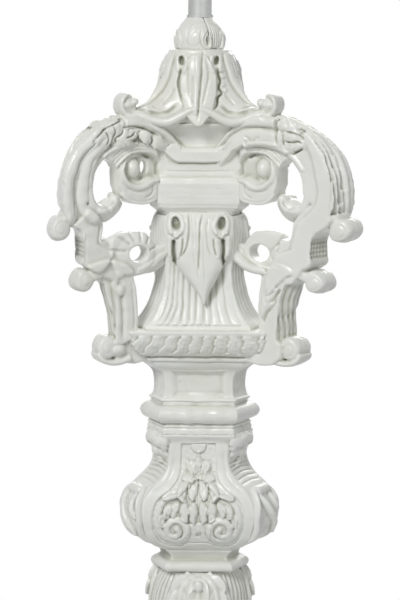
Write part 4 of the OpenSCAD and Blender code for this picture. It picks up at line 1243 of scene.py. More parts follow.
@dataclass
class Volute:
    """Scroll between arm and abacus, along +X: a hollow shell with a ball in it, under a leafy hood."""

    half: float = 10.4
    web: float = 2.6
    face: float = 28.0
    ball: tuple[float, float] = (73.4, 1062.4)
    hub: tuple[float, float] = (69, 1053.5)
    outline: Points = (
        (44, 1037), (50, 1032), (58, 1029.6), (68, 1029), (78, 1031), (85, 1035.5), (89, 1043), (89.6, 1053),
        (90.4, 1062), (95, 1069), (103, 1074), (100, 1081), (90, 1085), (76, 1087), (62, 1086), (50, 1082),
        (42, 1075), (38, 1066), (38, 1046),
    )
    bowl: Points = ((46.8, 1056), (47.6, 1065), (51.5, 1071.5), (58, 1075), (66, 1075.6), (74, 1073.4),
                    (80.5, 1068), (83, 1060.5), (80.5, 1053.5), (74.5, 1050), (66.5, 1050.4), (60, 1053.5),
                    (53, 1053.6))

    def side(self, at: np.ndarray) -> np.ndarray:
        """Half thickness: sunk bowl, lip below it, crevice round the shell, veins of the hood.

        Args:
            at: points as [distance from the axis, height].

        Returns:
            Half thickness at each point.
        """
        c = Chart(at, np.full(len(at), self.half))
        plain = np.maximum((self.face - 0.5 * at[:, 0]) / COS_30 + 0.3, 4.4)
        c.dome((68, 1050), 25, 2.2)
        near = 1 - step((at[:, 0] - 45) / 6)
        c.height += near * (np.minimum(plain, c.height) - c.height)
        across, up = self.hub
        turns = map(cos_sin, (-34, -8, 20, 48, 76, 104, 124))
        c.cut([(across + 22.6 * x, up + 22.6 * y) for x, y in turns], 1.9, 4.0, fade=False)
        for k, (r, low, high) in enumerate(((26.4, 12, 112), (29.6, 22, 104), (32.6, 34, 92))):
            line = []
            for t in np.linspace(low, high, 6):
                x, y = cos_sin(t)
                line.append((across + (r + 0.8 * math.sin(t / 19 + k)) * x, up + r * y))
            c.cut(line, 1.4, 1.9)
        c.lift(self.bowl, self.web - self.half, 2.6)
        c.bead([(47, 1050), (53, 1051.5), (58, 1049.5), (63, 1046.4), (71, 1045.2), (79.6, 1048.4),
                (85, 1055), (86.6, 1063), (84, 1071), (78, 1076.4), (70, 1078)], 3.0, 2.2, (0.6, 0.4))
        c.cut([(64, 1050.4), (70, 1048.6), (77, 1050.4), (82, 1055.6), (83.8, 1062.6), (81.6, 1069.6),
               (76, 1074)], 1.2, 2.4)
        c.cut([(63.5, 1055.5), (67, 1051.2), (73, 1050.2), (79, 1053.5)], 1.4, 2.0)
        c.cut([(57, 1047.6), (55.4, 1042), (58, 1037.6), (64, 1035)], 1.4, 1.8)
        c.cut([(54, 1034.4), (62, 1032), (71, 1031.8), (79, 1034.6)], 1.1, 1.1)
        c.cut([(66, 1041.5), (74, 1041.8), (81, 1045.5), (85, 1051)], 1.1, 0.9)
        return c.height

    def build(self, name: str) -> Obj:
        """The whole scroll as one skin; only the left one is cut through.

        Args:
            name: which corner it is for.

        Returns:
            The scroll, along +X.
        """
        obj = slab(smooth_path(self.outline, 6), -self.half, self.half)
        if name == "left":
            bored(obj, (61.6, 1063.0), 3.4, 6.4)
        fuse(obj, 0.9, 0)
        at = points_of(obj)
        share = np.abs(at[:, 1]) / self.half
        at[:, 1] = np.sign(at[:, 1]) * self.side(at[:, (0, 2)]) * share
        place_points(obj, at)
        r, z = self.ball
        parts = [obj, ball((r, 0, z), (8.9, 12.4, 10.2))]
        for side in (-1, 1):
            parts += [ball((57.5, side * 7.4, 1050.5), (4.4, 3.4, 4.0)),
                      ball((63.0, side * 7.6, 1047.5), (3.8, 3.2, 3.4))]
        obj = fuse(merged("volute", parts), 0.8, 2)
        at = points_of(obj)
        # Painted shade in the sunk bowl.
        bowl = np.hypot((at[:, 0] - 60) / 15, (at[:, 2] - 1063) / 13)
        darken(obj, 0.13 * step((1.1 - bowl) / 0.3) * step((10.5 - abs(at[:, 1])) / 4))
        return obj

    def dress(self) -> None:
        """Copies the volute to the three corners."""
        for name, angle in CORNERS.items():
            first = self.build(name)
            finish_piece(turned_copy(first, f"carved_volute_{name}", angle), f"volute_{name}")
            bpy.data.objects.remove(first)


# ---------------------------------------------------------------- leaf capital and crown


def level(height: float, out: float, cut: float) -> Triple:
    """Ring of a moulding given by how far its wide sides stand from the axis."""
    return height, out / SIDE_OUT - 2 * cut, cut


def closed(obj: Obj) -> Obj:
    """Merges doubled points and turns all faces outwards.

    Args:
        obj: the object.

    Returns:
        The same object.
    """
    take(obj)
    bpy.ops.object.mode_set(mode="EDIT")
    bpy.ops.mesh.select_all(action="SELECT")
    bpy.ops.mesh.remove_doubles(threshold=0.00002)
    bpy.ops.mesh.normals_make_consistent(inside=False)
    bpy.ops.object.mode_set(mode="OBJECT")
    return obj


@dataclass
class Capital:
    """Bell of leaves that runs out over a rolled rim to three curled corner leaves."""

    ridge: Points = ((0, 1171), (26, 1171), (30.5, 1168.5), (36, 1161), (40.5, 1149), (44, 1140),
                     (48.4, 1131), (54, 1124.6), (61, 1121), (69, 1119.4), (77, 1118), (78, 1112), (68, 1107),
                     (52, 1103), (37, 1100.2), (0, 1100))
    middle: Points = ((0, 1171), (26, 1171), (29.4, 1168.0), (32.4, 1161), (34.8, 1150), (36.5, 1142),
                      (37.5, 1135), (38.5, 1129), (39.5, 1124), (41, 1121), (42.5, 1118), (42.4, 1114),
                      (40.6, 1109), (38, 1104.4), (35.4, 1100.2), (0, 1100))
    rim: Points = ((-68, 1115), (-58, 1112.5), (-49, 1110), (-41, 1106.8), (-32, 1105), (-24, 1106.5),
                   (-16, 1111), (-8, 1115.5), (0, 1117), (8, 1115.5), (16, 1111), (24, 1106.5), (32, 1105),
                   (41, 1106.8), (49, 1110), (58, 1112.5), (68, 1115))
    tongue: Points = ((54, 0, 1116), (63, 0, 1112), (72, 0, 1110.6), (80, 0, 1112.2), (84.6, 0, 1118.2),
                      (84.2, 0, 1125.6), (79.4, 0, 1129.8), (74, 0, 1128))

    def body(self) -> Obj:
        """Bell whose plan runs out to three corners.

        Returns:
            The bell.
        """
        ridge, middle = np.asarray(self.ridge, float), np.asarray(self.middle, float)
        rows = []
        for angle in np.linspace(0, 360, 121):
            off = abs((angle - 90 + 60) % 120 - 60)
            share = 1 / math.cos(math.radians(60 - off)) - 1
            line = middle + (ridge - middle) * np.column_stack([np.full(16, share), np.full(16, share**0.6)])
            dip = 7.5 * math.exp(-(((off - 27) / 12) ** 2))
            line[9:13, 1] -= dip
            line = smooth_path(line, 4)
            x, y = cos_sin(angle)
            rows.append(np.column_stack([line[:, 0] * x, line[:, 0] * y, line[:, 1]]))
        return skin(np.asarray(rows))

    def centre_leaf(self) -> Obj:
        """Leaf that hangs over the rim in the middle of a side.

        Returns:
            The leaf, on the front.
        """
        path = [(33.5, 1167), (37, 1158), (39.0, 1146), (41.5, 1133), (45, 1120), (47.5, 1110), (48.5, 1103),
                (48.3, 1101.5)]
        wide = (7, 13, 16.5, 16.5, 14.0, 9.5, 4.0, 1.0)
        cut = LeafCut(lobes=2.5, depth=0.05, cup=-3.2, rib=0.0, veins=0.0, thick=7)
        return leaf([(0, -out, z) for out, z in path], wide, (0, -1, 0.25), cut)

    def drawing(self, c: Chart) -> None:
        """Folds, eyes and veins of one side.

        Args:
            c: board of that side.
        """
        c.cut([(3.4, 1171), (3.2, 1158), (2.0, 1140), (0.4, 1122), (-0.4, 1107)], 1.5, 2.6)
        c.bead([(-1.0, 1166), (-1.4, 1150), (-2.2, 1132), (-2.4, 1114)], 2.2, 1.0)
        c.cut([(-5.6, 1148), (-5.8, 1134), (-4.6, 1120)], 1.6, 1.0)
        c.cut([(6.6, 1164), (8.6, 1154), (9.0, 1143), (6.0, 1131), (3.6, 1120)], 1.7, 1.5)
        c.cut([(-8.8, 1163), (-9.8, 1152), (-9.2, 1140), (-7.6, 1128)], 1.7, 1.2)
        c.cut([(16.6, 1155), (17.6, 1148), (19.4, 1142), (18.2, 1136), (21.0, 1131), (17.6, 1127),
               (17.0, 1121), (13.4, 1116)], 2.0, 4.8)
        c.cut([(-16.4, 1155), (-17.4, 1148), (-18.8, 1140), (-17.4, 1132), (-14.6, 1123)], 1.9, 3.8)
        for u, z in ((20.6, 1152), (21.8, 1146.5), (22.4, 1139), (23.6, 1133.6)):
            c.dome((u, z), 2.6, 1.5, 0.8)
        for m in (c, c.mirrored()):
            m.dome((16.2, 1160.8), 4.6, -7.5, 0.6, 84)
            m.bead([(12.3, 1165), (11.8, 1157), (13.8, 1151)], 1.6, 1.1)
            m.bead([(20.2, 1165), (20.8, 1158), (19.4, 1152)], 1.6, 1.0)
            m.cut([(22, 1168), (24, 1156), (28.5, 1142), (35, 1131), (44, 1122.5), (55, 1118)], 2.0, 2.2)
            m.bead([(26.0, 1166), (29.5, 1153), (35, 1140), (43, 1130), (54, 1123.5), (66, 1121.0)], 2.6, 1.2)
            m.cut([(30.5, 1160), (34, 1149), (40, 1137)], 1.2, 0.9)
            m.cut([(22, 1136), (26, 1128), (33, 1120.5)], 2.2, 1.4)
            m.cut([(20, 1121), (27, 1114.5), (36, 1113), (46, 1115), (56, 1117.5)], 2.6, 2.6)
            m.cut([(40, 1117), (47, 1118.6), (54, 1118.8)], 1.3, 2.2)

    def build(self) -> None:
        """The carved capital."""
        rim = [(u, -(42 + 1.2 * math.cos(u / 22)), z) for u, z in self.rim]
        thick = [3.6, 4.0, 4.4, 4.6, 4.8, 4.6, 4.2, 3.6, 3.2, 3.6, 4.2, 4.6, 4.8, 4.6, 4.4, 4.0, 3.6]
        rims = copies(rod(rim, thick, [0.9 * t for t in thick], (0, 0, 1)), "rim")
        leaves = copies(self.centre_leaf(), "leaf")
        halves = ((5.6, 4.6, 3.8, 3.2, 2.6, 2.4, 2.2, 1.8), (14, 13, 11.5, 10, 9.6, 9.4, 8.6, 6.5))
        parts = (
            rolled_end(76.6, 1120.4, 7.4, 8.8, 120, 1), rod(self.tongue, *halves, power=0.7),
            ball((70.5, -6.5, 1123), (4.6, 4.0, 4.4)), ball((71.5, 6.0, 1124), (4.2, 4.4, 3.8)),
        )
        corners = zip(*(copies(part, "curl", CORNERS.values()) for part in parts))
        curls = [curl for corner in corners for curl in corner]
        obj = fuse(merged("carved_capital", [self.body(), *rims, *leaves, *curls]), 0.8, 2)
        carve(obj, SIDES, drawn(self.drawing))

        def marks(c: Chart) -> None:
            """Painted shade in the folds and the eyes.

            Args:
                c: board of that side.
            """
            c.bead([(16.6, 1155), (17.6, 1148), (19.4, 1142), (18.2, 1136), (21.0, 1131), (17.6, 1127),
                    (17.0, 1121)], 2.2, 0.05)
            for u in (-16.2, 16.2):
                c.dome((u, 1160.8), 4.4, 0.22, 0.6, 84)
        paint_shade(obj, SIDES, marks)
        finish_piece(obj, "leaf_capital")


@dataclass
class Calyx:
    """Leaf cup under the tube: three closed leaves with a seam and an open drop beside it."""

    profile: Points = ((0, 1171), (21.6, 1171), (22.9, 1173), (23.6, 1177.5), (23.2, 1183), (21.4, 1188.6),
                       (18.0, 1193.6), (14.8, 1197.2), (12.6, 1200), (0, 1200))

    def drawing(self, c: Chart) -> None:
        """One seam with its drop, the wavy right leaf and the plain left one.

        Args:
            c: board of that side.
        """
        c.cut([(-1.5, 1200), (0.2, 1195), (1.2, 1190), (1.0, 1184)], 1.2, 3.6, fade=False)
        c.lift([(-0.6, 1192), (3, 1193), (12, 1188), (15, 1180), (14, 1172), (4, 1171.5), (3, 1180),
                (2, 1187)], -0.9, 0.7)
        c.bead([(-1.4, 1188), (-4.2, 1184), (-5.0, 1178.5), (-3.0, 1173.5), (0.8, 1172.5), (2.6, 1176),
                (2.4, 1182)], 1.3, 1.2)
        c.dome((0.4, 1178.5), 5.0, -5.5, 0.46, 96)
        c.cut([(-5.6, 1190), (-7.2, 1184), (-6.8, 1177), (-5.0, 1172)], 1.0, 0.9)
        for k in range(5):
            c.cut([(4.6 + 2.5 * k, 1192 - 0.8 * k), (5.4 + 2.6 * k, 1184), (4.8 + 2.6 * k, 1174)], 0.8, 0.9)
        c.bead([(16.5, 1186), (18.5, 1180), (17.5, 1173.5)], 2.4, 1.4)
        c.cut([(-9, 1193), (-12, 1188), (-16, 1185)], 1.2, 0.5)
        c.dome((-13, 1181), 6.5, 0.7)
        c.cut([(-20, 1190), (-19, 1182), (-20.5, 1174)], 1.4, 0.8)
        c.bead([(-3, 1198), (-9, 1195.5), (-15, 1192)], 1.6, 0.6)

    def build(self) -> None:
        """The carved cup."""
        profile = np.vstack([self.profile[:1], smooth_path(self.profile[1:-1], 5), self.profile[-1:]])
        obj = fuse(merged("carved_calyx", [turned(profile)]), 0.45, 1)
        carve(obj, (-69.0, 51.0, 171.0), drawn_round(self.drawing, 22))
        finish_piece(obj, "calyx")


@dataclass
class Crown:
    """Block between the roots of the arms: a plain face, a bridge with a sloping ledge, a skirt above."""

    def build(self) -> None:
        """The carved block."""
        rows = [level(1059, 28, 13), level(1078.0, 28, 13.5), level(1081.5, 26.6, 16)]
        rows += [level(z, out, cut) for z, out,
                 cut in smooth_path([(1084, 25.4, 18), (1088, 25.8, 20), (1092.5, 28.4, 21), (1097, 33.0, 22),
                                     (1100.6, 37.6, 22), (1103.6, 39.6, 22)], 3)]
        obj = fuse(merged("carved_crown", [moulding(rows)]), 0.8, 1)
        band = [(-38, 1080), (-30, 1075), (-24, 1069.5), (-19.5, 1067.2), (21, 1067.2), (25, 1069.5),
                (30, 1075), (38, 1080), (38, 1097), (35, 1096), (28.5, 1090.2), (22.5, 1084.3), (17, 1080.2),
                (-12.5, 1080.2), (-17.5, 1083), (-23.5, 1089), (-31, 1095.5), (-38, 1098)]

        def face(c: Chart) -> None:
            """Bridge and its sloping ledge.

            Args:
                c: board of that side.
            """
            mask = Chart(c.at, np.zeros(len(c.at)))
            mask.lift(band, 1.0, 0.9, smooth=False)
            base = np.interp(c.at[:, 1], (1078, 1081.5, 1084, 1088, 1092.5, 1097, 1100.6),
                             (28, 26.6, 25.4, 25.8, 28.4, 33.0, 37.6))
            slope = np.interp(c.at[:, 1], (1077.4, 1081.4), (31.4, 29.0))
            front = np.where(abs(c.at[:, 0]) < 17, slope, 31.6)
            c.height += mask.height * np.maximum(front - base, 0)
            c.cut([(-19.5, 1066.6), (0, 1066.4), (21, 1066.6)], 1.2, 0.9, fade=False)
        carve(obj, SIDES, drawn(face))
        finish_piece(obj, "crown_block")


@dataclass
class Abacus:
    """Three-sided slab with cut corners: a hollow below, a plain face with a list, two lists above."""

    def build(self) -> None:
        """The carved slab."""
        hollow = [(1019, 57.5, 20), (1020.2, 60, 20.4), (1022.4, 65.5, 21), (1024.8, 70, 21.5)]
        rows = [(1017, 57, 20), *smooth_path(hollow, 4), (1025.2, 72, 22), (1027.2, 72.4, 22),
                (1027.5, 70.2, 21.6), (1028.2, 70.2, 21.6), (1028.6, 74.6, 22), (1029.4, 75.2, 22),
                (1048.0, 75.2, 22), (1049.0, 74.4, 22), (1049.2, 72.2, 21.2), (1051.0, 72.2, 21.2),
                (1051.3, 70.8, 20.8), (1053.0, 70.8, 20.4), level(1053.3, 29.4, 17), level(1059, 28.6, 17)]
        obj = fuse(merged("carved_abacus", [moulding(rows)]), 0.8, 1)

        def face(c: Chart) -> None:
            """Faint tool marks.

            Args:
                c: board of that side.
            """
            for z in (1033.5, 1038.2, 1043.6):
                c.cut([(-33, z), (-12, z + 0.5), (10, z - 0.4), (33, z + 0.2)], 1.0, 0.22)
            c.dome((12, 1036), 9, 0.3)
        carve(obj, SIDES, drawn(face))
        finish_piece(obj, "abacus")


# ---------------------------------------------------------------- core, hanging leaves and cornice to collar


@dataclass
class Core:
    """Bell-shaped core with folds that fan out towards the cornice."""

    rows: Points = ((912, 98, 30), (914.5, 97, 30), (917, 92.5, 29.5), (922, 84.5, 28.4), (932, 73.5, 26.6),
                    (946, 65, 25), (964, 60.5, 24), (984, 62.5, 24), (1003, 63.5, 24), (1012, 61.5, 24),
                    (1017, 60, 24))
    folds: Points = ((-29.5, -36.0, -46.0, 1.2), (-25.0, -30.0, -38.5, 1.2), (-22.0, -25.0, -32.0, 1.6),
                     (-18.0, -20.5, -25.6, 1.3), (-13.5, -15.0, -17.0, 1.7), (-8.0, -8.6, -9.0, 1.1),
                     (-2.4, -2.4, -2.8, 1.2), (3.4, 4.4, 5.4, 1.5), (9.5, 11.0, 13.0, 0.7),
                     (14.5, 17.5, 21.5, 0.6), (20.5, 25.0, 31.5, 0.9), (27.5, 33.0, 42.0, 0.7))

    def drawing(self, c: Chart) -> None:
        """Grooves between the folds of one side; each fold ends round above the cornice.

        Args:
            c: board of that side.
        """
        for i, (top, middle, low, deep) in enumerate(self.folds):
            start = 976 + 5 * math.sin(i * 2.1)
            c.cut([(top, start), ((top + middle) / 2, 952), (middle, 934), ((middle + low) / 2, 924),
                   (low, 917.5)], 1.25, deep)
            if i + 1 < len(self.folds):
                after = self.folds[i + 1]
                wide = (after[2] - low) * 0.34
                c.bead([((top + after[0]) / 2, start), ((middle + after[1]) / 2, 934),
                        ((low + after[2]) / 2, 919)], wide, 0.5 * deep)
                c.cut([(low + 0.3, 918.5), ((low + after[2]) / 2, 915.4), (after[2] - 0.3, 918.5)], 1.0,
                      0.5 * deep)
        c.cut([(-46, 916.4), (-20, 915.6), (0, 916.2), (22, 915.6), (46, 916.4)], 1.2, 1.1)
        for m in (c, c.mirrored()):
            m.bead([(31.0, 1012), (31.5, 995), (30.5, 978), (32, 960), (38, 940)], 2.4, 1.1)
            m.dome((21.2, 1010.0), 8.0, -7.0, 0.7, 82)

    def corner(self, c: Chart) -> None:
        """Narrow flutes down a cut corner."""
        for u in (-8, -3, 2.2, 7.4):
            c.cut([(u, 1010), (u * 0.95, 975), (u * 1.05, 945), (u * 1.3, 916)], 1.2, 0.9)

    def build(self) -> None:
        """The carved core."""
        rows = [tuple(self.rows[0]), *smooth_path(self.rows[1:], 4)]
        obj = fuse(merged("carved_core", [moulding(rows)]), 0.95, 2)
        carve(obj, SIDES, drawn(self.drawing), 42)
        carve(obj, CORNERS.values(), drawn(self.corner), 18)
        # Painted shadow of the hanging leaf on the folds to its right, and painted shade along its left edge
        # and in the core's two eyes.
        fold = [(28, 990), (27.5, 976), (24, 965), (17.5, 954), (12, 943), (8, 935)]
        paint_shade(obj, SIDES, lambda c: c.bead(fold, 5.6, 0.27, (0.6, 0.6)))
        paint_shade(obj, SIDES, lambda c: c.bead([(-27, 986), (-26, 976), (-25, 966)], 3.4, 0.2, (0.6, 0.6)))
        for u, more in ((-21, 0.3), (21, 0.36)):
            paint_shade(obj, SIDES, lambda c, u=u, more=more: c.dome((u, 1010), 8.5, more, 0.8, 90))
        finish_piece(obj, "bell_core")


@dataclass
class HangingLeaves:
    """Three leaves that hang from the abacus to a point, each with two eyes."""

    half: Points = ((1021, 30.5), (1014, 32.5), (1004, 32.5), (994, 31.0), (985, 29.5), (979, 27.0),
                    (973, 23.0), (966, 18.5), (958, 13.2), (949, 7.6), (941, 3.4), (935.5, 0.8))
    out: Points = ((1021, 34.0), (1014, 38.5), (1004, 41.4), (990, 43.6), (975, 45.8), (960, 47.0),
                   (948, 46.8), (935.5, 45.4))

    def solid(self) -> Obj:
        """Leaf of one side before it is cut.

        Returns:
            The leaf, on the front.
        """
        half, out = smooth_path(self.half, 5), np.asarray(self.out, float)[::-1]
        share = np.linspace(-1, 1, 31)
        rings = []
        for z, h in half:
            front = np.interp(z, out[:, 0], out[:, 1]) - 7.4 * abs(share) ** 3.0
            lean = 5.2 * float(step(np.array((985 - z) / 50)))
            ring = [(h * s + lean, -x, z) for s, x in zip(share, front)]
            ring += [(h + lean, -29, z), (lean, -26, z), (-h + lean, -29, z), ring[0]]
            rings.append(ring)
        return capped(np.asarray(rings))

    def drawing(self, c: Chart) -> None:
        """Midrib grooves, eyes with their rims, slits and side folds.

        Args:
            c: board of that side.
        """
        c.cut([(-9.4, 1021), (-9.0, 1008), (-9.6, 994), (-13.5, 984), (-17.5, 979.5)], 1.5, 2.3)
        c.cut([(-6.2, 1019), (-5.4, 1004), (-4.4, 990)], 1.2, 0.9)
        c.cut([(3.8, 1021), (1.6, 1010), (0.8, 995), (0.6, 978), (0.2, 966)], 1.3, 2.4)
        c.cut([(-2.2, 1017), (-2.0, 1002), (-1.2, 988)], 1.1, 0.8)
        c.cut([(-5.5, 985), (-2.5, 972), (1.0, 958)], 1.1, 0.7)
        c.cut([(8.6, 1016), (7.6, 1003), (8.6, 990), (12, 980)], 1.3, 1.2)
        c.cut([(5.0, 1000), (4.6, 985), (5.6, 968), (6.2, 954)], 1.2, 0.8)
        c.cut([(-23.4, 994), (-23.4, 986), (-22.6, 978), (-22.6, 972)], 2.9, 7.5, fade=False)
        c.cut([(-22.6, 974), (-17.5, 968), (-12.5, 960)], 1.2, 1.6)
        c.cut([(22.6, 995), (23.2, 987), (22.8, 979), (24.2, 972)], 2.6, 7.0, fade=False)
        for m in (c, c.mirrored()):
            m.dome((21.2, 1010.5), 6.6, -10.5, 0.64, 82)
            m.bead([(16.6, 1002.5), (14.6, 1009), (16.8, 1017.0), (21.6, 1020), (26.4, 1016.5), (27.6, 1009),
                    (25.6, 1002.4)], 2.0, 1.5)
            m.bead([(26.0, 1003.5), (21.6, 999.0), (16.8, 1003.0)], 2.0, 1.7)
            m.cut([(25.2, 1001.5), (21.6, 996.6), (18.0, 999.0)], 1.2, 1.8)
            m.bead([(16.8, 995), (18.2, 988), (18.6, 981)], 2.4, 1.6)
            m.cut([(14.0, 998), (14.8, 988), (17.6, 979.6)], 1.4, 1.8)
            m.bead([(27.8, 998), (28.6, 990), (27.0, 981)], 1.8, 1.1)

    def build(self) -> None:
        """The three leaves."""
        first = fuse(self.solid(), 0.7, 2)
        carve(first, SIDES[:1], drawn(self.drawing, 0.0))

        def marks(c: Chart) -> None:
            """Painted shade in the eyes and the slits.

            Args:
                c: board of that side.
            """
            for u, more in ((-21.2, 0.26), (21.2, 0.34)):
                c.dome((u, 1010.5), 6.0, more, 0.62, 90 - 8 * u / 21.2)
            c.bead([(-23.4, 995), (-23.4, 986), (-22.6, 974)], 3.0, 0.22)
            c.bead([(22.6, 996), (23.2, 987), (23.6, 973)], 2.8, 0.24)
        paint_shade(first, SIDES[:1], marks)
        finish_piece(merged("carved_hanging_leaves", copies(first, "leaf")), "hanging_leaves")


@dataclass
class Cornice:
    """Cornice under the core, with slanting leaf lobes between two lists."""

    low: float = 886.5
    high: float = 908.2
    pitch: float = 13.4
    slant: float = -0.58

    def lobes(self, at: np.ndarray, normals: np.ndarray) -> np.ndarray:
        """Overlapping lobes, each with a sharp wavy edge on one side and a round foot.

        Args:
            at: points as [distance out, distance to the side, height].
            normals: their normals.

        Returns:
            The moved points.
        """
        u, z = at[:, 1], at[:, 2]
        lean = self.slant * (0.55 - 0.45 * np.clip(u / 40, -1, 1))
        wave = 0.9 * np.sin(z * 0.55 + np.floor(u / self.pitch) * 1.9) + 0.42 * np.sin(z * 1.5
            + u / 5) * step((u + 30) / 20)
        run = (u + lean * (z - self.low) + wave + 1.6 * np.sin(u / 13)) / self.pitch
        part = run % 1.0
        foot = self.low + 1.2 + 1.8 * (1 - np.sin(np.pi * part))
        on = step((z - foot) / 1.6) * step((self.high - z) / 1.2) * step((normals[:, 0] + 0.1) / 0.3)
        rise = (3.4 + 0.8 * np.sin(np.floor(run) * 2.3)) * (1 - part) ** 0.9 * step(part / 0.16) - 1.5
        fine = 0.24 * np.cos(2 * np.pi * part * 2.2 + 0.5 * np.sin(z / 4)) * step((part - 0.2) / 0.3)
        at = at.copy()
        at[:, 0] += on * (rise + fine)
        return at

    def build(self) -> None:
        """The carved cornice."""
        swell = smooth_path([(886.6, 95, 29), (888.4, 104, 30.5), (892, 113, 32.2), (898, 119.5, 33.4),
                             (908.2, 123.6, 34)], 4)
        rows = [(881, 90, 28), (881.2, 92, 28), (884.6, 96, 28.4), (885.0, 87.5, 27.6), (886.2, 87.5, 27.6),
                *swell, (908.5, 120.6, 33.4), (909.1, 120.6, 33.4), (909.4, 124.5, 34), (909.8, 125.2, 34),
                (911.4, 125.2, 34), (912, 124.4, 34)]
        obj = fuse(merged("carved_cornice", [moulding(rows)]), 0.9, 1)
        carve(obj, SIDES, self.lobes, 48.2)
        carve(obj, CORNERS.values(), self.lobes, 11.8)
        finish_piece(obj, "cornice")


@dataclass
class Waist:
    """Waist with three sunk panels and reeded corners, flaring at the top."""

    def face(self, c: Chart) -> None:
        """Sunk panel with a wide bevel, and one small nick.

        Args:
            c: board of that side.
        """
        c.lift([(-24, 846.2), (24, 846.2), (24.6, 869.6), (-24.6, 869.6)], -1.5, 2.0, smooth=False)
        c.lift([(-21.6, 848.8), (21.6, 848.8), (22.2, 867.2), (-22.2, 867.2)], -0.7, 1.2, smooth=False)
        c.dome((4, 858), 16, 0.5)
        c.cut([(-18.5, 859.2), (-16.4, 859.6)], 0.9, 0.8)
        c.cut([(-30, 872.6), (0, 872.2), (30, 872.6)], 1.0, 0.6)

    def corner(self, c: Chart) -> None:
        """Fine reeds down a cut corner."""
        for u in (-8.4, -5.0, -1.6, 1.8, 5.2, 8.6):
            c.cut([(u, 874), (u + 0.3, 860), (u, 846)], 1.1, 0.8)

    def build(self) -> None:
        """The carved waist."""
        dado = smooth_path([(844.4, 66.5, 25), (849, 64.6, 24.2), (858, 64.0, 24), (867, 66.6, 24.4),
                            (872, 73, 25.6), (876.4, 81.5, 27.2), (881, 86.5, 28)], 4)
        rows = [(841, 70, 26.6), (843.4, 70, 26.6), (843.8, 68.4, 26), *dado]
        obj = fuse(merged("carved_waist", [moulding(rows)]), 0.85, 1)
        carve(obj, SIDES, drawn(self.face))
        carve(obj, CORNERS.values(), drawn(self.corner), 18)
        finish_piece(obj, "waist_block")


@dataclass
class Collar:
    """Collar of a plain band, a thin roll, a big roll and a thin list."""

    def build(self) -> None:
        """The carved collar."""
        rows = [(810, 67, 33), (815.0, 67, 33), (815.3, 64.6, 32), (816.0, 64.6, 32),
                *half_round(816.1, 64, 31.4, 3.4, 1.1), (819.6, 61.5, 30), (820.4, 61.5, 30),
                *half_round(820.6, 64.5, 31.5, 16.6, 1.04), (837.3, 61.5, 27.2), (838.2, 66.5, 26.4),
                (840.0, 67.5, 26.4), (841, 67, 26.4)]
        obj = fuse(merged("carved_collar", [moulding(rows)]), 0.8, 1)

        def soften(at: np.ndarray, normals: np.ndarray) -> np.ndarray:
            """Leaves the front faintly wavy."""
            wave = 0.35 * np.sin(at[:, 1] / 5.5 + at[:, 2] / 9) + 0.2 * np.sin(at[:, 1] / 2.3)
            return at + normals * (wave * step((normals[:, 0] - 0.2) / 0.3))[:, None]
        carve(obj, SIDES, soften)
        finish_piece(obj, "collar")


# ---------------------------------------------------------------- vase


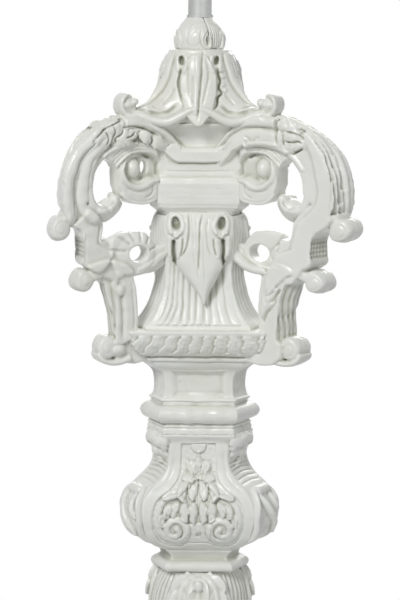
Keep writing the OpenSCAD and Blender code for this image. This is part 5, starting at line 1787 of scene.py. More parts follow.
@dataclass
class Vase:
    """Vase with three carved wide sides and three folded leaves on its narrow ones."""

    rows: Points = ((695, 68, 18), (697, 74, 20), (701, 84, 24.5), (707, 92.5, 29.5), (714, 98.5, 33.5),
                    (723, 103, 37), (733, 105, 39.4), (743, 104, 40), (753, 97.5, 40), (761, 85, 39),
                    (768, 70.5, 37.6), (776, 59.5, 36.6), (786, 55.2, 36), (801, 55, 36))
    top: Points = ((801, 55, 36), (803.4, 56.5, 36), (806, 61.5, 36), (808.4, 67, 36), (810, 68, 36))
    panel: Points = ((0, 705), (8, 704.6), (12.5, 703.2), (17, 700.6), (27, 700.8), (35.5, 705.5), (41, 715),
                     (43.4, 727), (43, 738), (40.6, 745.5), (35.2, 752.6), (26.4, 759), (19.2, 768),
                     (16.8, 781), (16.2, 801))

    def outline(self) -> np.ndarray:
        """Closed outline of the sunk panel."""
        half = smooth_path(self.panel, 6)
        return np.vstack([half, half[::-1] * (-1, 1)])

    def out(self, z: np.ndarray) -> np.ndarray:
        """Distance of a wide side from the axis at each height."""
        rows = smooth_path(self.rows, 6)
        return np.interp(z, rows[:, 0], (rows[:, 1] + 2 * rows[:, 2]) * SIDE_OUT)

    def ornament(self, c: Chart) -> None:
        """Bud, leaf sprays and two facing scrolls with their roundels.

        Args:
            c: board of that side.
        """
        c.lift([(-10, 726), (10, 726), (11, 712), (7.5, 706.6), (-7.5, 706.6), (-11, 712)], 1.5, 1.0)
        c.bead([(0, 793), (0, 785)], 1.5, 1.1)
        c.dome((0, 776), 8.5, 2.6)
        c.dome((0, 783), 4.6, 3.0, 0.75, 90)
        for m in (c, c.mirrored()):
            scroll = [(13.5, 749.5), (17, 752.8), (23, 753.6), (30, 750.6), (36, 743.5), (38.6, 733),
                      (37.4, 721.5), (32, 712.4), (24, 707.8), (15.8, 709), (11.2, 715.5), (12, 724),
                      (18, 730), (26, 728.6), (30.4, 721.6), (28.0, 714.6), (22, 712.8), (17.6, 717),
                      (20.4, 721.4)]
            m.dome((21.4, 719.0), 12.0, 2.2)
            m.bead(scroll, 3.4, 3.0, (0.6, 0.8))
            m.frond([(33.6, 722), (34.2, 730), (30.4, 738.4)], 4.0, 2.8, 1, 0.3, 0.3)
            m.frond([(29.4, 730.6), (29.6, 738), (25.0, 745)], 4.6, 3.0, 1, 0.3, 0.3)
            m.frond([(23.4, 732.6), (23.0, 740), (18.0, 747.4)], 4.8, 3.2, 1, 0.3, 0.3)
            m.frond([(3.6, 768.6), (10, 768.2), (17.4, 763.4), (25, 757.6), (34, 750.6)], 8.6, 4.4, 1, 0.2,
                    0.4)
            m.frond([(8.5, 766), (13.2, 761), (15.4, 754), (14.6, 748)], 5.8, 3.8, 1, 0.2, 0.3)
            m.frond([(5.2, 767.0), (10.6, 769.4), (16, 769.0)], 3.8, 3.6, 1, 0.2, 0.3)
            m.frond([(2.8, 769), (4.6, 761), (5.6, 754), (5.0, 749)], 5.2, 4.4, 1, 0.2, 0.3)
            m.frond([(11.6, 750), (12.4, 741), (13.0, 733.4), (10.4, 728)], 5.2, 3.6, 2, 0.25, 0.3)
            m.frond([(3.6, 748), (4.8, 740), (5.4, 733), (4.0, 726.4)], 5.0, 4.0, 2, 0.2, 0.3)
            m.dome((5.2, 778.2), 6.4, 3.0, 0.85, 52)
            m.bead([(1.4, 768.6), (6.4, 771.6), (9.6, 777), (10.2, 782.6)], 2.4, 2.2, (0.8, 0.6))
            m.cut([(1.4, 773.5), (2.6, 778), (2.8, 783.5)], 0.9, 1.2)
            m.cut([(9.2, 765), (10.6, 758), (10.2, 750), (8.8, 741), (8.4, 732)], 1.3, 2.2)
        c.cut([(-9.5, 749.6), (-4, 748), (0, 749.2), (4, 748), (9.5, 749.6)], 1.1, 1.8)
        c.cut([(0.3, 767), (-0.2, 758), (0.3, 749), (0.8, 738), (0.2, 727)], 1.1, 2.4)
        c.dome((0.4, 715.4), 2.7, -5.5)
        c.lift([(-6.8, 806), (6.8, 806), (6.6, 798), (4.6, 793.6), (0, 791.8), (-4.6, 793.6), (-6.6, 798)],
               2.3, 0.6)

    def plate(self) -> Obj:
        """Carved panel of one side, on its own fine board.

        Returns:
            The panel, on the front.
        """
        share, z = np.meshgrid(np.linspace(-1, 1, 151), np.linspace(699, 804, 177))
        edge = smooth_path(self.panel[4:], 6)
        u = share * (np.interp(z, edge[:, 1], edge[:, 0]) + 1.2)
        flat = np.column_stack([u.ravel(), z.ravel()])
        ring = np.vstack([self.outline(), self.outline()[:1]])
        far, _, _ = to_line(flat, ring)
        far = np.where(inside(flat, ring[:-1]), far, -far)
        c = Chart(flat, np.full(len(flat), -2.3))
        self.ornament(c)
        fine = 0.12 * np.sin(flat[:, 0] * 0.9 + np.sin(flat[:, 1] * 0.7))
        fine = fine + 0.1 * np.sin(flat[:, 1] * 1.1 + flat[:, 0] * 0.4)
        height = np.where(far > 0.2, c.height + fine, -4.2)
        height = np.where((far > -0.6) & (far <= 0.2), -2.3 + 2.4 * (far - 0.2), height)
        out = self.out(flat[:, 1]) + height
        front = np.column_stack([flat[:, 0], -out, flat[:, 1]]).reshape(177, 151, 3)
        back = np.stack([front[:, i] for i in (150, 112, 75, 38, 0)], 1)
        back[..., 1] = -(self.out(back[..., 2]) - 6.5)
        table = np.concatenate([front, back, front[:, :1]], 1)
        return closed(capped(table))

    def face(self, c: Chart) -> None:
        """Sinks the ground of the panel into the body and softens the border around it.

        Args:
            c: board of that side.
        """
        c.lift(self.outline(), -3.3, 0.5, smooth=False)
        for m in (c, c.mirrored()):
            m.cut([(24.2, 797), (24.0, 783), (26.8, 771), (34, 762.6), (43.6, 756)], 1.4, 0.5)

    def corner(self, c: Chart) -> None:
        """Ribs across the hollow neck of a narrow side."""
        for z in (763.5, 767.2, 770.9, 774.6, 778.3, 782.0):
            c.cut([(-17, z - 0.8), (0, z + 0.6), (17, z - 0.8)], 1.2, 1.2)

    def drops(self) -> list[Obj]:
        """Leafy drops that hang from a corner of the collar.

        Returns:
            Their parts, along +X.
        """
        chunk = LeafCut(lobes=1.5, depth=0.2, cup=-1.6, rib=0.0, veins=1.0, thick=6)
        parts = [leaf([(49, 0, 812), (54.0, 0, 807), (54, 0, 801), (49, 0, 795)], (5, 11, 10, 4), (1, 0, 0.2),
                      chunk)]
        for side in (-1, 1):
            parts += [
                leaf([(49, side * 8, 811), (52, side * 13, 805), (50, side * 15, 799),
                      (45.5, side * 14.5, 793)], (4, 7, 6.5, 2.5), (1, side * 0.5, 0.2), chunk),
                leaf([(47, side * 5, 799), (48.5, side * 8, 794), (46.5, side * 9, 788), (43, side * 8, 784)],
                     (3, 6, 5.5, 2), (1, side * 0.3, 0.2), chunk),
            ]
        parts += [ball((46.5, 0, 792), (5.0, 6.6, 6.2)), ball((43.6, 1.5, 784), (3.8, 5.0, 5.0)),
                  ball((42.6, -2.5, 778), (3.0, 3.8, 3.8))]
        return parts

    def corner_leaf(self) -> Obj:
        """Folded leaf on a narrow side, curled over at its top, between two wavy ribbons.

        Returns:
            The leaf, along +X.
        """
        cut = LeafCut(lobes=2.4, depth=0.12, cup=-3.4, rib=0.0, veins=1.0, thick=10)
        path = [(65, 0, 761), (71, 0, 755.5), (75.4, 0, 747), (77.6, 0, 737), (77.2, 0, 725), (72.5, 0, 714),
                (64, 0, 706), (54, 0, 702)]
        parts = [leaf(path, (8, 11.5, 14.0, 15.6, 14.8, 13.4, 12, 10), (1, 0, 0.15), cut),
                 rolled_end(69.0, 756.5, 4.8, 11.0, 60, 1),
                 rod([(70.5, -9, 754), (77, -7, 746), (80.4, -1.5, 736), (79.6, 5.5, 726), (74.6, 9.5, 714)],
                     (2.4, 3.8, 4.4, 3.8, 2), (2.2, 3.0, 3.2, 2.8, 1.6)),
                 rod([(71, 7, 753), (76.8, 9, 746), (78.6, 11.5, 738), (77, 14, 731)], (2.2, 3.4, 3.6, 1.8),
                     (2.2, 2.8, 2.6, 1.6))]
        for side in (-1, 1):
            parts += [
                rod([(64, side * 9, 759.5), (70, side * 13.5, 753.5), (74.4, side * 16.5, 744),
                     (74.5, side * 17.5, 733), (73, side * 15.8, 721), (67, side * 13, 711),
                     (56, side * 10, 704)],
                    (3, 3.6, 3.8, 3.4, 3.4, 3, 2), (2.4, 2.6, 2.4, 2.6, 2.6, 2.4, 2)),
            ]
        return fuse(merged("corner_leaf", parts), 0.75, 1)

    def dress(self) -> None:
        """Builds the body, the panels and the corner leaves."""
        rows = [*smooth_path(self.rows, 4), *smooth_path(self.top[1:], 3)]
        drops = []
        for part in self.drops():
            drops += copies(part, "drop", CORNERS.values())
        body = fuse(merged("carved_vase", [moulding(rows), *drops]), 1.0, 1)
        carve(body, SIDES, drawn(self.face))
        carve(body, CORNERS.values(), drawn(self.corner), 30)
        finish_piece(body, "vase")
        panels = merged("carved_panels", copies(self.plate(), "plate"))
        # Painted shade in the small hole of each panel's plate.
        paint_shade(panels, SIDES, lambda c: c.dome((0.4, 715.0), 2.8, 0.5))
        finish_piece(panels, "vase_panels")
        leaves = copies(self.corner_leaf(), "leaf", CORNERS.values())
        finish_piece(merged("carved_corner_leaves", leaves), "corner_leaves")


@dataclass
class LowerRing:
    """Ring below the vase: a roll under a hollow."""

    def build(self) -> None:
        """The carved ring."""
        hollow = smooth_path([(684.5, 54, 25), (686.5, 52.5, 24.4), (690, 54.5, 24), (693, 59.5, 23),
                              (695, 65, 22)], 3)
        rows = [(673, 54, 25.6), *half_round(673.4, 57, 26, 10.6, 1.1), *hollow]
        obj = fuse(merged("carved_lower_ring", [moulding(rows)]), 0.8, 1)
        # Painted shadow of the vase, evenly over the whole ring.
        darken(obj, np.full(len(obj.data.vertices), 0.12))
        finish_piece(obj, "lower_ring")


# ---------------------------------------------------------------- bulb, stem and base


@dataclass
class Bulb:
    """Leaf bulb: long strands over an egg, with three leaf tufts hanging from its shoulder."""

    profile: Points = ((22, 556), (27, 560), (34.5, 572), (41.5, 589), (46.5, 608), (48.6, 627), (48, 641),
                       (45.5, 654), (41.5, 664), (37, 670.5), (33, 673))

    def valleys(self, at: np.ndarray) -> np.ndarray:
        """How deep each point lies between two strands.

        Args:
            at: points of a side that faces +X.

        Returns:
            Depth from 0 on a strand to 1.
        """
        angle = heading(at)
        z = at[:, 2]
        wave = abs(np.cos(np.pi * (angle / 7.5 + 0.3 * np.sin((z - 600) / 17))))
        return (1 - wave**0.6) * step((z - 557) / 5) * step((672.4 - z) / 3)

    def strands(self, at: np.ndarray, normals: np.ndarray) -> np.ndarray:
        """Long strands from the top of the egg to its foot, with leaf tips over the lowest part.

        Args:
            at: points as [distance out, distance to the side, height].
            normals: their normals.

        Returns:
            The moved points.
        """
        angle = heading(at)
        z = at[:, 2]
        leafy = 1.6 * abs(np.cos(np.pi * (angle / 30 + 0.5))) ** 0.5 * step((612 - z) / 14)
        on = step((z - 557) / 5) * step((672.4 - z) / 3)
        return at + normals * (on * (leafy - 0.2) - 2.7 * self.valleys(at))[:, None]

    def tuft(self) -> Obj:
        """Three-lobed leaf with two curled side leaves, on the front of the egg.

        Returns:
            The tuft.
        """
        cut = LeafCut(lobes=2.5, depth=0.3, cup=2.2, rib=1.2, veins=1.4, thick=7)
        parts = [leaf([(0, -36, 672), (0, -45, 664), (0, -50, 651), (0, -51.5, 636), (0, -52, 624)],
                      (6, 9.5, 11, 8, 1.5), (0, -1, 0.25), cut)]
        for side in (-1, 1):
            parts += [
                leaf([(side * 6, -37, 672), (side * 12, -42.5, 667), (side * 17.5, -45.5, 657),
                      (side * 18.5, -47.5, 645), (side * 13.5, -50, 638)], (6, 10, 11, 8, 3),
                      (side * 0.3, -1, 0.3), cut),
                rod([(side * 17, -35, 671), (side * 24, -37, 660), (side * 28.5, -38, 645),
                     (side * 27, -41, 628), (side * 20, -45, 612)], (2.4, 3, 3, 2.6, 1.4), 2.6,
                     (side * 0.4, -1, 0)),
                ball((side * 9.5, -50.5, 636), (3.8, 3.0, 4.2)),
            ]
        parts += [ball((0, -47.5, 664), (4.2, 3.6, 5.6)), ball((0, -50.5, 619), (3.2, 3.0, 4.4))]
        return merged("tuft", parts)

    def build(self) -> None:
        """The carved bulb."""
        profile = np.vstack([[(0, 556)], smooth_path(self.profile, 5), [(0, 673)]])
        egg = fuse(merged("egg", [turned(profile)]), 0.95, 0)
        carve(egg, SIDES, self.strands)
        tufts = copies(self.tuft(), "tuft")
        obj = fuse(merged("carved_bulb", [egg, *tufts]), 0.9, 1)
        at = points_of(obj)
        turn = (np.arctan2(at[:, 1], at[:, 0]) + math.radians(150)) % math.radians(120) - math.radians(60)
        out = np.hypot(at[:, 0], at[:, 1])
        bare = step((np.interp(at[:, 2], profile[:, 1], profile[:, 0]) + 2.0 - out) / 2.0)
        flat = np.column_stack([out * np.cos(turn), out * np.sin(turn), at[:, 2]])
        # Painted shade in the valleys between the strands, where the tufts leave them bare.
        darken(obj, 0.2 * bare * self.valleys(flat))
        finish_piece(obj, "leaf_bulb")


@dataclass
class Stem:
    """Slender turned stem between its two rings, with leaves on the belly and flutes above."""

    profile: Points = ((27, 332), (28, 336), (24, 340), (24, 346), (28.5, 352), (32, 372), (32.6, 394),
                       (30, 414), (26, 436), (22.6, 462), (19.6, 490), (17.6, 514), (16.4, 522), (20.4, 526),
                       (21.4, 530), (20.4, 533.6), (16, 537), (19, 541), (21, 544))

    def cuts(self, at: np.ndarray, normals: np.ndarray) -> np.ndarray:
        """Lapping leaves up to the belly, then flutes that follow the taper.

        Args:
            at: points as [distance out, distance to the side, height].
            normals: their normals.

        Returns:
            The moved points.
        """
        angle = heading(at)
        z = at[:, 2]
        flutes = abs(np.cos(np.pi * (angle / 15 + 0.5))) ** 0.7
        taper = step((z - 424) / 10) * step((512 - z) / 6)
        lobe = abs(np.cos(np.pi * (angle / 30 + 0.5)))
        tip = 398 + 20 * lobe**0.7
        leafed = step((z - 350) / 4) * step((tip - z) / 2.5)
        rib = np.exp(-((((angle + 15) % 30 - 15) / 2.6) ** 2))
        second = 376 + 14 * abs(np.cos(np.pi * angle / 30)) ** 0.7
        low = step((z - 350) / 4) * step((second - z) / 2)
        move = -1.9 * (1 - flutes) * taper + leafed * (1.6 - 0.9 * rib) + low * 1.2
        return at + normals * move[:, None]

    def roll(self, name: str, node: str, low: float, tall: float, radius: float, count: int) -> None:
        """Ring of slanting lobes between two thin lists.

        Args:
            name: name of the piece.
            node: frame node that it replaces.
            low: its foot.
            tall: its height.
            radius: its radius.
            count: lobes around it.
        """
        a = np.linspace(-np.pi / 2, np.pi / 2, 15)
        edge = tall * 0.14
        profile = [(0, low), (radius - 2, low), (radius - 1.4, low + edge)]
        profile += [(radius + (tall / 2 - edge) * math.cos(t),
                     low + tall / 2 + (tall / 2 - edge) * math.sin(t)) for t in a]
        profile += [(radius - 1.4, low + tall - edge), (radius - 2, low + tall), (0, low + tall)]
        obj = fuse(merged(name, [turned(profile)]), 0.8, 1)

        def lobes(at: np.ndarray, normals: np.ndarray) -> np.ndarray:
            """Cuts the notches between the lobes.

            Args:
                at: points as [distance out, distance to the side, height].
                normals: their normals.

            Returns:
                The moved points.
            """
            angle = heading(at)
            run = abs(np.sin(np.pi * (angle * count / 360 + (at[:, 2] - low) / tall * 0.6)))
            on = step((np.hypot(at[:, 0], at[:, 1]) - radius + 0.5) / 1.5)
            return at - normals * (1.7 * (1 - run**0.6) * on)[:, None]

        carve(obj, SIDES, lobes)
        finish_piece(obj, node)

    def dress(self) -> None:
        """Builds the stem and both rings."""
        profile = np.vstack([[(0, 332)], smooth_path(self.profile, 5), [(0, 544)]])
        obj = fuse(merged("carved_baluster", [turned(profile)]), 0.85, 1)
        carve(obj, SIDES, self.cuts)
        finish_piece(obj, "baluster")
        self.roll("carved_knop_ring", "knop_ring", 544, 12, 26, 24)
        self.roll("carved_base_ring", "base_ring", 316, 16, 34, 30)


@dataclass
class Base:
    """Three-sided pedestal, hollow below, with the vase's ornament larger on its wide sides."""

    rows: Points = ((60, 168, 55.4), (61, 170, 56), (68, 170, 56), (69.4, 168, 55.4), (82.6, 168, 55.4),
                    (84, 170, 56), (87, 170, 56), (88, 169, 55.8))
    swell: Points = ((88, 169, 55.8), (93, 166, 54.8), (98, 158, 52), (101.4, 148, 48.6))
    wall: Points = ((103, 146, 48), (112, 143, 47), (140, 139, 45.4), (168, 135, 44), (190, 126, 42),
                    (212, 110, 38), (234, 90, 32.6), (254, 74, 28), (270, 65.6, 25), (282, 62, 24))
    neck: Points = ((299.6, 61, 24), (303, 63, 25.4), (307, 70, 29.6), (310, 80, 36), (316, 80, 36))
    # Well for the ballast and recess for the lid: radius, height and middle, in metres.
    cavity: Points = ((0.0525, 0.100, 0.0945), (0.0662, 0.02, 0.0555))

    def face(self, c: Chart) -> None:
        """Sunk panel with the ornament, and a thin line over the plinth.

        Args:
            c: board of that side.
        """
        wide, tall = 1.34, 1.36
        small = Chart(np.column_stack([c.at[:, 0] / wide, 700 + (c.at[:, 1] - 110) / tall]), c.height)
        board = Vase()
        small.lift(board.outline(), -2.4, 0.7, smooth=False)
        board.ornament(small)
        for m in (c, c.mirrored()):
            m.frond([(58, 108), (63, 122), (60, 140), (54, 158)], 6.5, 2.6, 4)
            m.cut([(70, 106), (68.5, 140), (64, 172), (56, 204), (44, 236)], 1.4, 0.8)
        c.cut([(-70, 75.6), (0, 75.2), (70, 75.6)], 1.6, 0.8)

    def corner(self, c: Chart) -> None:
        """Hanging leaf down a narrow side.

        Args:
            c: board of that side.
        """
        c.frond([(0, 262), (0, 232), (0, 196), (0, 158)], 13, 3.4, 5)
        c.frond([(0, 168), (0, 146), (0, 124), (0, 108)], 9.5, 3.0, 3)
        for m in (c, c.mirrored()):
            m.cut([(19.5, 106), (18.5, 150), (16, 200), (10.6, 258)], 1.3, 0.9)

    def build(self) -> None:
        """The carved pedestal with its cavity."""
        rows = [*self.rows, *smooth_path(self.swell, 3)[1:], *smooth_path(self.wall, 3),
                *half_round(284.6, 63, 25, 14.6, 1.05), *smooth_path(self.neck, 3)]
        obj = moulding(rows)
        for radius, tall, middle in self.cavity:
            deselect()
            bpy.ops.mesh.primitive_cylinder_add(vertices=72, radius=radius, depth=tall,
                location=(0, 0, middle))
            tool = bpy.context.object
            cut_away(closed(obj), tool)
        fuse(merged("carved_base", [obj]), 1.5, 1)
        carve(obj, SIDES, drawn(self.face))
        carve(obj, CORNERS.values(), drawn(self.corner), 18)
        finish_piece(obj, "base_body")


@dataclass
class Foot:
    """Scroll foot, modelled along +X: a plate under the pedestal, a knee with a curl and a toe scroll."""

    half: float = 22.6
    wall: float = 114.5
    outline: Points = ((70.3, 59.6), (70.3, 40.4), (86, 37.5), (104, 36.5), (118, 43), (130, 50), (146, 44),
                       (158, 31), (166, 14), (179, 5), (196, 12), (201, 28), (194, 44), (184, 58), (170, 76),
                       (156, 93), (142, 106), (126, 110), (115, 104), (114.6, 60))

    def side(self, at: np.ndarray) -> np.ndarray:
        """Half thickness: a raised border and a leaf that sweeps from the knee to the toe.

        Args:
            at: points as [distance from the axis, height].

        Returns:
            Half thickness at each point.
        """
        c = Chart(at, np.full(len(at), self.half))
        line = np.vstack([smooth_path(self.outline[2:18], 5), self.outline[18:], self.outline[:2]])
        d, _, _ = to_line(at, np.vstack([line, line[:1]]))
        c.height -= 2.2 * step((d - 4.5) / 1.6)
        c.height -= 3.0 * (1 - np.sqrt(1 - (1 - np.clip(d / 3.0, 0, 1)) ** 2))
        c.frond([(132, 84), (146, 76), (158, 62), (168, 46)], 10, 3.0, 4)
        c.frond([(128, 66), (116, 54), (100, 47.5), (84, 47)], 6.5, 2.4, 3)
        return c.height

    def build(self) -> None:
        """The three feet."""
        line = np.vstack([self.outline[:2], smooth_path(self.outline[2:18], 5), self.outline[18:]])
        board = fuse(slab(line, -self.half, self.half), 1.4, 0)
        at = points_of(board)
        share = at[:, 1] / self.half
        at[:, 1] = share * self.side(at[:, (0, 2)])
        place_points(board, at)
        cut = LeafCut(lobes=4, depth=0.28, cup=2.4, rib=1.6, veins=1.4, thick=8)
        parts = [
            board, rolled_end(178, 30, 25.4, 22.8, 90, 1), rolled_end(128, 94, 17.5, 22.8, 180, -1),
            leaf([(131, 0, 110.5), (146, 0, 105), (160, 0, 92), (173, 0, 76), (186, 0, 60), (197, 0, 50)],
                 (5, 13, 16, 15, 11, 3), (0.6, 0, 1), cut),
        ]
        first = fuse(merged("foot", parts), 1.25, 1)
        at = points_of(first)
        under = (at[:, 2] > 59.7) & (at[:, 0] < self.wall)
        at[under, 0] = self.wall
        at[:, 2] = np.maximum(at[:, 2], 4.1)
        place_points(first, at)
        hollows(first)
        for name, angle in CORNERS.items():
            finish_piece(turned_copy(first, f"carved_foot_{name}", angle), f"foot_{name}")
        bpy.data.objects.remove(first)


# ---------------------------------------------------------------- shade


@dataclass
class Shade:
    """Plain linen lampshade stretched between its two wire rings, with a narrow tape at each edge."""

    low: float = 1411.5
    high: float = 1683.5
    bottom: float = 215.0
    top: float = 150.0
    thick: float = 1.0
    tape: float = 11.0

    def build(self, cloth: Mat) -> None:
        """The stretched cloth.

        Args:
            cloth: its finish.
        """
        t = np.linspace(0, 1, 41)
        z = self.low + (self.high - self.low) * t
        out = self.bottom + (self.top - self.bottom) * t
        edge = np.minimum(z - self.low, self.high - z)
        outer = out - 0.7 + 0.55 * (1 - step((edge - self.tape) / 1.2)) - 0.5 * (1 - step(edge / 0.8))
        inner = outer - self.thick * 0.55
        loop = np.vstack([np.column_stack([outer, z]), np.column_stack([inner, z])[::-1], [(outer[0], z[0])]])
        a = np.linspace(0, 2 * np.pi, 145)
        pull = 0.35 * np.cos(a * 12)[None]
        r = loop[:, :1] - pull * np.sin(np.pi * (loop[:, 1:] - self.low) / (self.high - self.low))
        rows = np.stack([r * np.cos(a), r * np.sin(a), np.repeat(loop[:, 1:], 145, 1)], 2)
        obj = closed(skin(rows))
        obj.name = obj.data.name = "linen_shade"
        finish_piece(obj, "shade_skin", material=cloth, slot="shade_cloth")


# ---------------------------------------------------------------- finishes


class Nodes:
    """Small helper that adds and joins shader nodes."""

    def __init__(self, name: str) -> None:
        """Starts a material with one Principled shader.

        Args:
            name: its name.
        """
        self.material = bpy.data.materials.new(name)
        self.material.use_nodes = True
        self.tree = self.material.node_tree
        self.shader = self.tree.nodes["Principled BSDF"]

    def add(self, kind: str, **values: object) -> bpy.types.Node:
        """Adds a node.

        Args:
            kind: its type.
            values: its properties or its inputs, by name.

        Returns:
            The node.
        """
        node = self.tree.nodes.new(kind)
        for key, value in values.items():
            if hasattr(node, key):
                setattr(node, key, value)
            else:
                node.inputs[key.replace("_", " ")].default_value = value
        return node

    def join(self, out: Socket, into: Socket) -> None:
        """Links two sockets."""
        self.tree.links.new(out, into)

    def coords(self) -> Socket:
        """Object coordinates."""
        return self.add("ShaderNodeTexCoord").outputs["Object"]

    def noise(self, scale: float, detail: float = 4, stretch: Triple | None = None) -> Socket:
        """Noise on Object coordinates, in metres.

        Args:
            scale: scale of the noise.
            detail: its detail.
            stretch: scale along each axis, if it is stretched.

        Returns:
            The noise's value.
        """
        noise = self.add("ShaderNodeTexNoise", Scale=scale, Detail=detail)
        if stretch:
            mapping = self.add("ShaderNodeMapping")
            mapping.inputs["Scale"].default_value = stretch
            self.join(self.coords(), mapping.inputs["Vector"])
            self.join(mapping.outputs["Vector"], noise.inputs["Vector"])
        else:
            self.join(self.coords(), noise.inputs["Vector"])
        return noise.outputs["Fac"]

    def ramp(self, fac: Socket, stops: Sequence[tuple[float, Triple]]) -> Socket:
        """Colour ramp.

        Args:
            fac: what it reads.
            stops: places and colours.

        Returns:
            The colour.
        """
        ramp = self.add("ShaderNodeValToRGB")
        while len(ramp.color_ramp.elements) < len(stops):
            ramp.color_ramp.elements.new(0.5)
        for element, (place, colour) in zip(ramp.color_ramp.elements, stops):
            element.position = place
            element.color = (*colour, 1)
        self.join(fac, ramp.inputs["Fac"])
        return ramp.outputs["Color"]

    def mix(self, fac: Socket | float, a: Socket, b: Socket, how: str = "MIX") -> Socket:
        """Mixes two colours.

        Args:
            fac: share of the second one.
            a: first colour.
            b: second colour.
            how: blend type.

        Returns:
            The mixed colour.
        """
        mix = self.add("ShaderNodeMix", data_type="RGBA", blend_type=how)
        if isinstance(fac, float):
            mix.inputs[0].default_value = fac
        else:
            self.join(fac, mix.inputs[0])
        self.join(a, mix.inputs[6])
        self.join(b, mix.inputs[7])
        return mix.outputs[2]

    def polish(self, scale: float, detail: float, rough: tuple[float, float]) -> None:
        """Uneven polish.

        Args:
            scale: scale of the noise that it follows.
            detail: detail of that noise.
            rough: lowest and highest roughness.
        """
        spread = self.add("ShaderNodeMapRange", From_Min=0.3, From_Max=0.7, To_Min=rough[0], To_Max=rough[1])
        self.join(self.noise(scale, detail), spread.inputs["Value"])
        self.join(spread.outputs["Result"], self.shader.inputs["Roughness"])

    def put(self, **values: float | Triple) -> None:
        """Sets inputs of the shader by name."""
        for key, value in values.items():
            self.shader.inputs[key.replace("_", " ")].default_value = value

    def bump(self, height: Socket, strength: float, distance: float, under: Socket | None = None) -> Socket:
        """Bump.

        Args:
            height: what it reads.
            strength: its strength.
            distance: its height in metres.
            under: bump that it lies on, if any.

        Returns:
            The bent normal.
        """
        bump = self.add("ShaderNodeBump", Strength=strength, Distance=distance)
        self.join(height, bump.inputs["Height"])
        if under:
            self.join(under, bump.inputs["Normal"])
        return bump.outputs["Normal"]


@dataclass(frozen=True)
class PaintedWood:
    """White paint brushed over carved wood, with painted shade that makes it greyer and greener down in the
    cuts.
    """

    light: Triple = (0.84, 0.845, 0.805)
    aged: Triple = (0.79, 0.79, 0.725)

    def make(self) -> Mat:
        """Builds the material.

        Returns:
            The material.
        """
        n = Nodes(PAINTED_WOOD)
        patch = n.ramp(n.noise(14, 5), [(0.35, self.light), (0.72, self.aged)])
        # Painted shade from the "hollow" attribute: greyer and greener the deeper a point lies, and a faint
        # painted highlight on ridges.
        hollow = n.add("ShaderNodeAttribute", attribute_name="hollow").outputs["Fac"]
        shade = n.ramp(hollow, [(0.36, (1.03, 1.03, 1.03)), (0.52, (1, 1, 1)), (0.68, (0.78, 0.79, 0.745)),
                                (0.90, (0.46, 0.47, 0.405))])
        n.join(n.mix(1.0, patch, shade, "MULTIPLY"), n.shader.inputs["Base Color"])
        n.polish(90, 3, (0.28, 0.46))
        wave = n.bump(n.noise(55, 3), 0.5, 0.0015)
        brush = n.bump(n.noise(260, 4, (1, 1, 0.16)), 0.4, 0.00055, wave)
        n.join(n.bump(n.noise(900, 2), 0.25, 0.00012, brush), n.shader.inputs["Normal"])
        n.put(Specular_IOR_Level=0.4, Coat_Weight=0.3, Coat_Roughness=0.2)
        return n.material


@dataclass(frozen=True)
class Linen:
    """Plain weave of slubby off-white thread, on the shade's own UV map."""

    thread: Triple = (0.80, 0.77, 0.69)
    gap: Triple = (0.66, 0.625, 0.54)
    around: float = 1150.0
    up: float = 560.0

    def make(self) -> Mat:
        """Builds the material.

        Returns:
            The material.
        """
        n = Nodes("shade_linen")
        mapping = n.add("ShaderNodeMapping")
        mapping.inputs["Scale"].default_value = (self.around, self.up, 1)
        n.join(n.add("ShaderNodeTexCoord").outputs["UV"], mapping.inputs["Vector"])
        waves = []
        for way in ("X", "Y"):
            wave = n.add("ShaderNodeTexWave", wave_type="BANDS", bands_direction=way, Scale=0.33,
                         Distortion=1.4, Detail=2)
            wave.inputs["Detail Scale"].default_value = 0.35
            n.join(mapping.outputs["Vector"], wave.inputs["Vector"])
            waves.append(wave.outputs["Fac"])
        weave = n.add("ShaderNodeMath", operation="MULTIPLY")
        n.join(waves[0], weave.inputs[0])
        n.join(waves[1], weave.inputs[1])
        slub = n.ramp(n.noise(160, 4, (1, 1, 0.1)), [(0.35, (0.93, 0.93, 0.92)), (0.7, (1.04, 1.04, 1.03))])
        n.join(n.mix(1.0, n.ramp(weave.outputs["Value"], [(0.05, self.gap), (0.5, self.thread)]), slub,
                     "MULTIPLY"), n.shader.inputs["Base Color"])
        n.join(n.bump(weave.outputs["Value"], 0.5, 0.0004), n.shader.inputs["Normal"])
        n.put(Roughness=0.85, Sheen_Weight=0.3, Subsurface_Weight=0.15,
              Subsurface_Radius=(0.004, 0.003, 0.002))
        return n.material


@dataclass(frozen=True)
class Metal:
    """Metal with a fine turned or drawn grain and uneven polish."""

    name: str
    light: Triple
    dark: Triple
    rough: tuple[float, float] = (0.28, 0.42)
    grain: Triple = (1, 1, 30)
    depth: float = 0.00006
    metallic: float = 1.0

    def make(self) -> Mat:
        """Builds the material.

        Returns:
            The material.
        """
        n = Nodes(self.name)
        n.join(n.ramp(n.noise(60, 4), [(0.3, self.light), (0.75, self.dark)]), n.shader.inputs["Base Color"])
        n.polish(120, 3, self.rough)
        n.join(n.bump(n.noise(300, 3, self.grain), 0.4, self.depth), n.shader.inputs["Normal"])
        n.put(Metallic=self.metallic)
        return n.material


@dataclass(frozen=True)
class Hard:
    """Hard material without metal: plastic, glaze, enamel or glass, faintly mottled."""

    name: str
    light: Triple
    dark: Triple
    rough: tuple[float, float] = (0.3, 0.4)
    scale: float = 180.0
    depth: float = 0.00005
    coat: float = 0.0
    clear: float = 0.0

    def make(self) -> Mat:
        """Builds the material.

        Returns:
            The material.
        """
        n = Nodes(self.name)
        n.join(n.ramp(n.noise(self.scale / 4, 3), [(0.3, self.light), (0.75, self.dark)]),
               n.shader.inputs["Base Color"])
        n.polish(self.scale, 2, self.rough)
        n.join(n.bump(n.noise(self.scale * 5, 2), 0.3, self.depth), n.shader.inputs["Normal"])
        n.put(Coat_Weight=self.coat, Transmission_Weight=self.clear)
        return n.material


